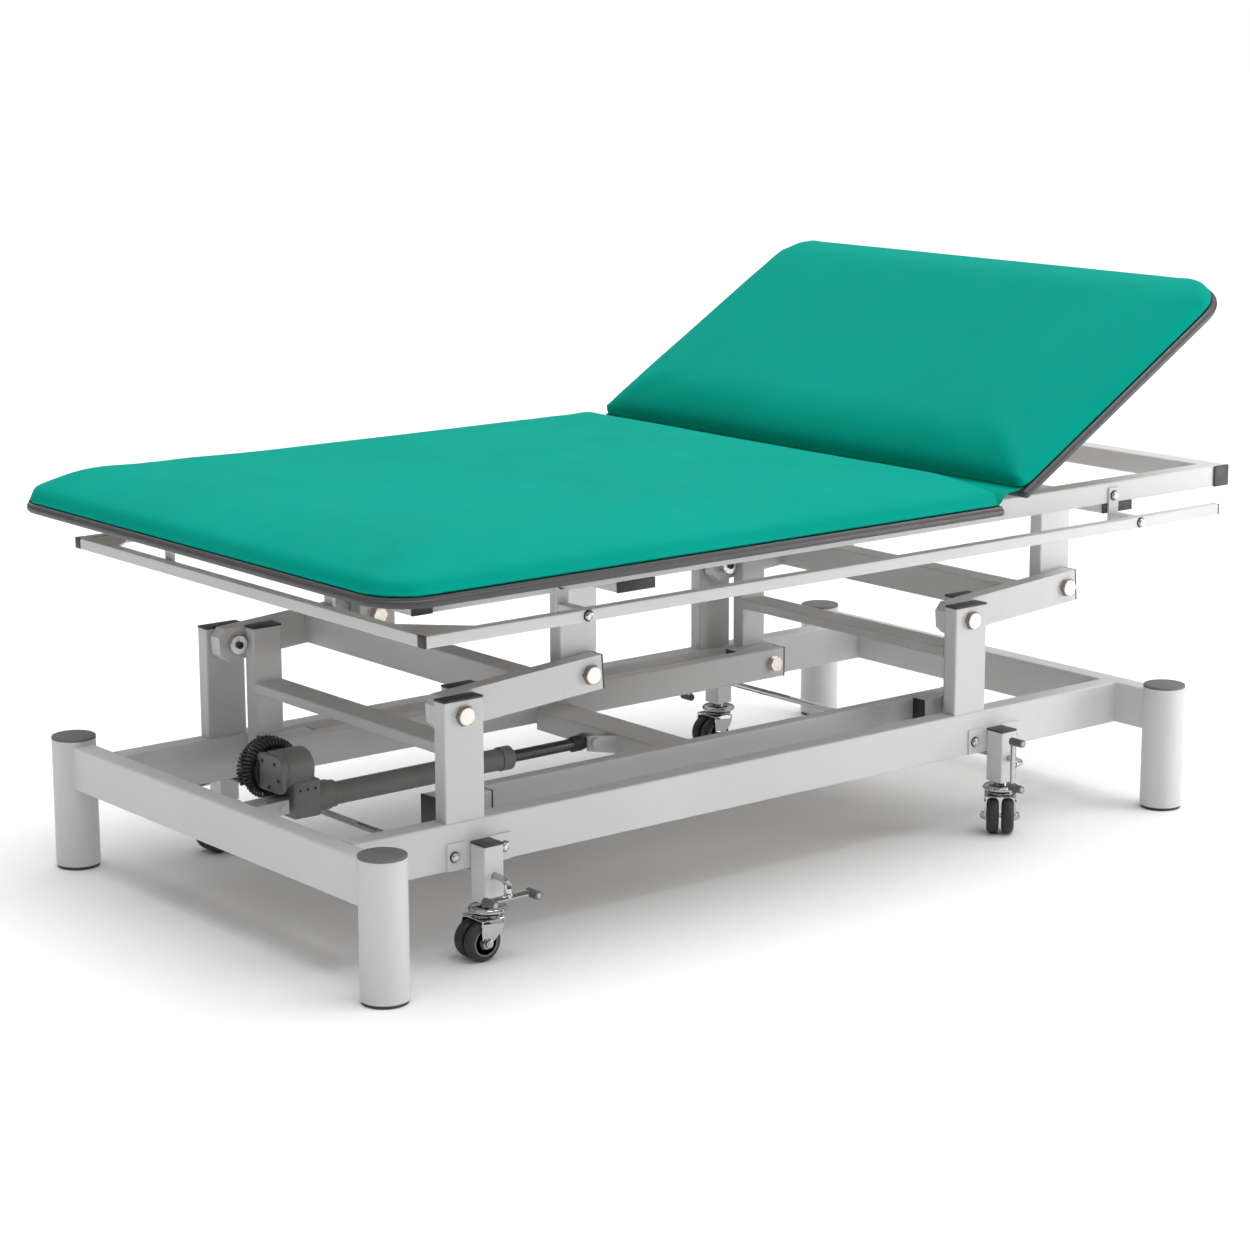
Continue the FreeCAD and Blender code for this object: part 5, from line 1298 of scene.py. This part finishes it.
@dataclass
class GapCover:
    """Vinyl strip that bridges the two cushions over the hinge."""

    half: float = 0.588
    thick: float = 0.0012
    strips: int = 60
    sag: float = 0.0008
    line: tuple[tuple[float, float], ...] = (
        (0.268, 0.6684), (0.282, 0.6700), (0.2885, 0.6760), (0.2965, 0.6865), (0.306, 0.6900),
        (0.318, 0.6905), (0.330, 0.6915), (0.348, 0.6978)
    )

    def build(self) -> bpy.types.Object:
        """Make the strip with a soft fall between the boards."""
        shape = bmesh.new()
        rows = []
        for number in range(self.strips + 1):
            y = -self.half + 2 * self.half * number / self.strips
            sag = self.sag * noise.noise(Vector((y * 9.0, 0.0, 1.7)))
            rows.append([
                shape.verts.new((x, y, z + sag * math.sin(math.pi * place / (len(self.line) - 1))))
                for place, (x, z) in enumerate(self.line)
            ])
        for row, after in zip(rows, rows[1:]):
            for number in range(len(row) - 1):
                shape.faces.new((row[number], row[number + 1], after[number + 1], after[number]))
        bmesh.ops.recalc_face_normals(shape, faces=shape.faces)
        bmesh.ops.solidify(shape, geom=shape.faces[:], thickness=self.thick)
        bmesh.ops.recalc_face_normals(shape, faces=shape.faces)
        data = to_data(shape, "gap_cover")
        data.polygons.foreach_set("use_smooth", [True] * len(data.polygons))
        data.materials.append(GREEN.build())
        piece = new_object("gap_cover", data)
        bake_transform(piece)
        return piece


@dataclass
class TwinCastor:
    """Pressed fork, hub rings and twin tyres of one castor."""

    word: str
    x: float
    y: float
    swivel: float
    trail: float = 0.022
    axle: float = 0.0338
    radius: float = 0.033
    tyre: float = 0.023
    bore: float = 0.0125
    gap: float = 0.005
    fork_high: float = 0.073
    fork_half: float = 0.030
    sheet: float = 0.003
    eye: float = 0.0095
    eye_back: float = 0.0100
    eye_steps: int = 7
    back: float = -0.012
    ahead: float = 0.010
    fold: float = 0.0016
    pin: float = 0.004
    nut_flats: float = 0.013
    nut_tall: float = 0.0055

    def place(self) -> Matrix:
        """Castor's own frame: origin under the king pin, +X along the trail."""
        return Matrix.Translation((self.x, self.y, 0.0)) @ Matrix.Rotation(
            math.radians(self.swivel), 4, "Z"
        )

    def axle_place(self, across: float, out: float) -> Matrix:
        """Place on the axle, looking out along the axle."""
        turn = Matrix.Rotation(-math.pi / 2 * out, 4, "X")
        return self.place() @ Matrix.Translation((self.trail, across, self.axle)) @ turn

    def wheels(self) -> None:
        """Twin tyres with a grooved tread and grey hub rings."""
        rubber = bmesh.new()
        hubs = bmesh.new()
        r = self.radius
        w = self.tyre
        bore = self.bore
        tyre = [
            (bore, 0.0), (r - 0.009, 0.0), (r - 0.004, 0.0012), (r - 0.0012, 0.0042), (r, 0.0078),
            (r, w - 0.0078), (r - 0.0012, w - 0.0042), (r - 0.004, w - 0.0012),
            (r - 0.0075, w - 0.0004), (r - 0.0085, w - 0.0012), (bore, w - 0.0012), (bore, 0.0)
        ]
        hub = [
            (bore, w - 0.0012), (r - 0.0086, w - 0.0012), (r - 0.0090, w + 0.0002),
            (r - 0.0120, w + 0.0002), (r - 0.0128, w - 0.0022), (0.0120, w - 0.0022),
            (0.0112, w + 0.0006), (0.0048, w + 0.0006), (0.0048, 0.001), (bore, 0.001),
            (bore, w - 0.0012)
        ]
        for out in (-1.0, 1.0):
            place = self.axle_place(out * self.gap / 2, out)
            add_lathe(rubber, tyre, place, 56)
            add_lathe(hubs, hub, place, 56)
        publish(rubber, f"twin_tyres_{self.word}", TYRE, f"wheel_{self.word}", 30.0,
                (f"castor_wheel_{self.word}",))
        publish(hubs, f"hub_rings_{self.word}", HUB, f"wheel_{self.word}", 30.0)

    def fork(self) -> None:
        """One bent sheet: a crown with two cheeks that taper to the axle."""
        shape = bmesh.new()
        half = self.fork_half
        back = self.back
        front = self.trail + self.ahead
        turns = [math.pi * number / self.eye_steps for number in range(self.eye_steps + 1)]
        side = [
            Vector((back, 0.0, self.fork_high - 0.010)),
            Vector((back + 0.004, 0.0, self.axle + 0.018)),
        ]
        side += [
            Vector((self.trail - self.eye_back * math.cos(turn), 0.0,
                    self.axle - self.eye * math.sin(turn)))
            for turn in turns
        ]
        side += [
            Vector((front + 0.002, 0.0, self.axle + 0.022)),
            Vector((front, 0.0, self.fork_high - 0.006)),
        ]
        for out in (-1.0, 1.0):
            ring = [shape.verts.new(co + Vector((0.0, out * half, 0.0))) for co in side]
            shape.faces.new(ring if out > 0 else ring[::-1])
        bmesh.ops.recalc_face_normals(shape, faces=shape.faces)
        for face in list(shape.faces):
            out = 1.0 if face.calc_center_median().y > 0 else -1.0
            made = bmesh.ops.extrude_face_region(shape, geom=[face])
            moved = [item for item in made["geom"] if isinstance(item, bmesh.types.BMVert)]
            bmesh.ops.translate(shape, verts=moved, vec=(0.0, -out * self.sheet, 0.0))
        add_block(
            shape, Vector((back, -half, self.fork_high - self.sheet)),
            Vector((front, half, self.fork_high)), 0.0012
        )
        bmesh.ops.recalc_face_normals(shape, faces=shape.faces)
        crown = bmesh.new()
        for out in (-1.0, 1.0):
            y = out * (half - 0.0015)
            line = [
                Vector((x, y, self.fork_high - down)) for x, down in (
                    (back + 0.001, 0.010), (back + 0.001, 0.0015), (front - 0.001, 0.0015),
                    (front - 0.001, 0.006)
                )
            ]
            merge_into(crown, tube_mesh(line, self.fold, 8))
        merge_into(shape, crown)
        bmesh.ops.transform(shape, matrix=self.place(), verts=shape.verts)
        pin_end = half + 2 * self.pin
        add_lathe(shape, disc(self.pin, -pin_end, pin_end, 0.0005), self.axle_place(0.0, 1.0), 24)
        for out in (-1.0, 1.0):
            seat = self.axle_place(out * (half + 0.0008), out)
            add_hex_head(shape, self.nut_flats, self.nut_tall, seat, 0.18)
            add_washer(shape, 0.0082, self.pin, 0.0010, self.axle_place(out * half, out))
        publish(shape, f"pressed_fork_{self.word}", CHROME, f"fork_{self.word}", 35.0,
                (f"castor_fork_{self.word}",))

    def build(self) -> None:
        """Make the fork and the wheels."""
        self.fork()
        self.wheels()


@dataclass
class Pedal:
    """Bent chrome crank with a cross bar and two dark grips at each side of the couch."""

    end: str
    x: float
    turn: float
    z: float = 0.143
    out: float = 0.467
    bar: float = 0.006
    drop: float = 0.028
    half: float = 0.044
    grip: float = 0.036
    bend: float = 0.016
    foot_bend: float = 0.010
    ribs: int = 9

    def place(self) -> Matrix:
        """Shaft's own frame."""
        return Matrix.Translation((self.x, 0.0, self.z)) @ Matrix.Rotation(
            math.radians(self.turn), 4, "Y"
        )

    def build(self) -> None:
        """Make the shaft with its cranks, then the grips and their plugs."""
        steel = bmesh.new()
        grips = bmesh.new()
        plugs = bmesh.new()
        out = self.out
        corners = [
            Vector((0.0, y, z))
            for y, z in ((-out, -self.drop), (-out, 0.0), (out, 0.0), (out, -self.drop))
        ]
        merge_into(steel, tube_mesh(rounded_line(corners, self.bend), self.bar, 16))
        for side in (-1.0, 1.0):
            y = side * out
            reach = self.half
            foot = y + side * (self.grip - 0.016)
            bar = [
                Vector((x, across, -self.drop))
                for x, across in ((-reach, foot), (-reach, y), (reach, y), (reach, foot))
            ]
            merge_into(steel, tube_mesh(rounded_line(bar, self.foot_bend), self.bar - 0.0006, 16))
            weld = [(0.0, -0.0030), (0.0072, -0.0022), (0.0078, 0.0), (0.0072, 0.0022), (0.0, 0.0030)]
            add_lathe(steel, weld, Matrix.Translation((0.0, y, -self.drop + 0.005)), 24)
            for hand in (-1.0, 1.0):
                turn = Matrix.Rotation(-math.pi / 2 * side, 4, "X")
                seat = (hand * reach, y - side * self.bar, -self.drop)
                place = Matrix.Translation(seat) @ turn
                long = self.grip - self.bar
                ribs = [(0.0, 0.0), (0.0066, 0.0), (0.0074, 0.0010)]
                for number in range(self.ribs):
                    z = 0.003 + number * (long - 0.006) / self.ribs
                    ribs += [(0.0075, z), (0.0075, z + 0.0014)]
                    ribs += [(0.0069, z + 0.0018), (0.0069, z + 0.0026)]
                ribs += [(0.0075, long - 0.0022), (0.0070, long), (0.0, long)]
                add_lathe(grips, ribs, place, 28)
                plug = [
                    (0.0, long - 0.001), (0.0046, long - 0.001), (0.0046, long + 0.0006),
                    (0.0036, long + 0.0010), (0.0, long + 0.0010)
                ]
                add_lathe(plugs, plug, place, 24)
        for shape, name, finish, replaces in (
            (steel, "crank", CHROME, (f"{self.end}_pedal",)), (grips, "grips", GRIP, ()),
            (plugs, "plugs", PLUG, ())
        ):
            bmesh.ops.transform(shape, matrix=self.place(), verts=shape.verts)
            publish(shape, f"{self.end}_pedal_{name}", finish, f"{self.end}_pedal", 35.0, replaces)


# Studio


@dataclass
class Studio:
    """Pale floor, soft light and the camera."""

    floor_colour: Colour = (0.95, 0.95, 0.95)
    sky_low: float = 0.04
    sky_high: float = 0.85
    foot_share: float = 0.55
    head_share: float = 1.45
    dusk: float = 0.04
    zenith: float = 0.80
    eye: Vector = field(default_factory=lambda: Vector((-3.6148, -4.3775, 1.6204)))
    gaze: Vector = field(default_factory=lambda: Vector((0.6129, 0.7615, -0.2111)))
    roll: float = -0.16
    focal_pixels: float = 3107.75
    image_pixels: float = 1250.0
    sensor: float = 36.0
    floor_half: float = 30.0
    sun_way: Point = (-0.12, 0.10, -1.0)
    sun_spread: float = 50.0
    sun_power: float = 1.95
    lamp_spot: Point = (3.3, -3.0, 0.70)
    lamp_target: Point = (0.8, -0.3, 0.40)
    lamp_size: float = 1.6
    lamp_power: float = 52.0

    def floor(self) -> None:
        """Large pale floor that the camera sees as near white."""
        mesh = bmesh.new()
        bmesh.ops.create_grid(mesh, x_segments=4, y_segments=4, size=self.floor_half)
        plane = new_object("studio_floor", to_data(mesh, "studio_floor"))
        recipe = Recipe("floor_paper", self.floor_colour, 0.9)
        recipe.tint(recipe.noise(0.6, 2.0), shade(self.floor_colour, -0.01), self.floor_colour)
        plane.data.materials.append(recipe.material)

    def world(self) -> None:
        """Soft sky, brighter above and at the head end; the camera sees it as plain white."""
        world = bpy.data.worlds.new("studio_sky")
        bpy.context.scene.world = world
        world.use_nodes = True
        tree = world.node_tree
        back = next(n for n in tree.nodes if n.type == "BACKGROUND")
        path = tree.nodes.new("ShaderNodeLightPath")
        most = tree.nodes.new("ShaderNodeMath")
        most.operation = "MAXIMUM"
        tree.links.new(path.outputs["Is Camera Ray"], most.inputs[0])
        tree.links.new(path.outputs["Is Transmission Ray"], most.inputs[1])
        where = tree.nodes.new("ShaderNodeTexCoord")
        split = tree.nodes.new("ShaderNodeSeparateXYZ")
        tree.links.new(where.outputs["Generated"], split.inputs[0])
        side = self.ranged(
            tree, split.outputs["X"], (-1.0, 1.0, self.foot_share, self.head_share), "LINEAR"
        )
        height = self.ranged(
            tree, split.outputs["Z"], (self.dusk, self.zenith, self.sky_low, self.sky_high),
            "SMOOTHSTEP"
        )
        dome = tree.nodes.new("ShaderNodeMath")
        dome.operation = "MULTIPLY"
        tree.links.new(height, dome.inputs[0])
        tree.links.new(side, dome.inputs[1])
        white = tree.nodes.new("ShaderNodeMix")
        tree.links.new(most.outputs[0], white.inputs[0])
        tree.links.new(dome.outputs[0], white.inputs[2])
        white.inputs[3].default_value = 1.0
        tree.links.new(white.outputs[0], back.inputs["Strength"])
        back.inputs["Color"].default_value = (1.0, 1.0, 1.0, 1.0)

    @staticmethod
    def ranged(
        tree: bpy.types.NodeTree, source: Socket, values: tuple[float, ...], kind: str
    ) -> Socket:
        """Map a value from one span to another, in a straight or a smooth way."""
        node = tree.nodes.new("ShaderNodeMapRange")
        node.interpolation_type = kind
        for index, value in enumerate(values, 1):
            node.inputs[index].default_value = value
        tree.links.new(source, node.inputs[0])
        return node.outputs[0]

    def sun(self) -> None:
        """Wide even light from above."""
        light = bpy.data.lights.new("high_light", "SUN")
        light.angle = math.radians(self.sun_spread)
        light.energy = self.sun_power
        aim = Vector(self.sun_way).to_track_quat("-Z", "Y")
        new_object("high_light", light).rotation_euler = aim.to_euler()

    def lamp(self) -> None:
        """Soft square lamp aimed at the base's head end."""
        light = bpy.data.lights.new("head_light", "AREA")
        light.shape = "SQUARE"
        light.size = self.lamp_size
        light.energy = self.lamp_power
        holder = new_object("head_light", light)
        holder.location = self.lamp_spot
        aim = (Vector(self.lamp_target) - Vector(self.lamp_spot)).to_track_quat("-Z", "Y")
        holder.rotation_euler = aim.to_euler()

    def camera(self) -> None:
        """Camera at the photograph's place."""
        data = bpy.data.cameras.new("photo_camera")
        data.sensor_fit = "HORIZONTAL"
        data.sensor_width = self.sensor
        data.lens = self.sensor * self.focal_pixels / self.image_pixels
        data.clip_end = 100.0
        holder = new_object("photo_camera", data)
        gaze = self.gaze.normalized()
        right = gaze.cross(Vector((0.0, 0.0, 1.0))).normalized()
        up = right.cross(gaze)
        turn = Matrix((right, up, -gaze)).transposed().to_4x4()
        spin = Matrix.Rotation(math.radians(self.roll), 4, "Z")
        holder.matrix_world = Matrix.Translation(self.eye) @ turn @ spin
        bpy.context.scene.camera = holder

    def build(self) -> None:
        """Set up the whole studio."""
        self.floor()
        self.world()
        self.sun()
        self.lamp()
        self.camera()
        view = bpy.context.scene.view_settings
        view.view_transform = "Standard"

# Assembly


SOFTENED = (
    BrokenEdges("leg_caps", LEG_CAP, 0.0006),
    *(
        BrokenEdges(f"{word}_caps", DARK_CAP, 0.0010)
        for word in ("base", "upper", "foot_swing", "head_swing", "push")
    ),
    BrokenEdges("foot_pads", FOOT_RUBBER, 0.0015),
)


def main() -> None:
    """Build everything in order."""
    logging.basicConfig(level=logging.INFO, format="%(name)s: %(message)s")
    dress_nodes()
    for part in SOFTENED:
        part.build()
    Deck().build()
    Fasteners().build()
    GapCover().build()
    Drive().build()
    for end, x in (("foot", FOOT_CASTOR_X), ("head", HEAD_CASTOR_X)):
        CastorFlanges(end, x).build()
    for word, (x, y, swivel) in CASTORS.items():
        TwinCastor(word, x, y, swivel).build()
    Pedal("foot", FOOT_CASTOR_X, 0.0).build()
    Pedal("head", HEAD_CASTOR_X, 90.0).build()
    Studio().build()


if __name__ == "__main__":
    main()
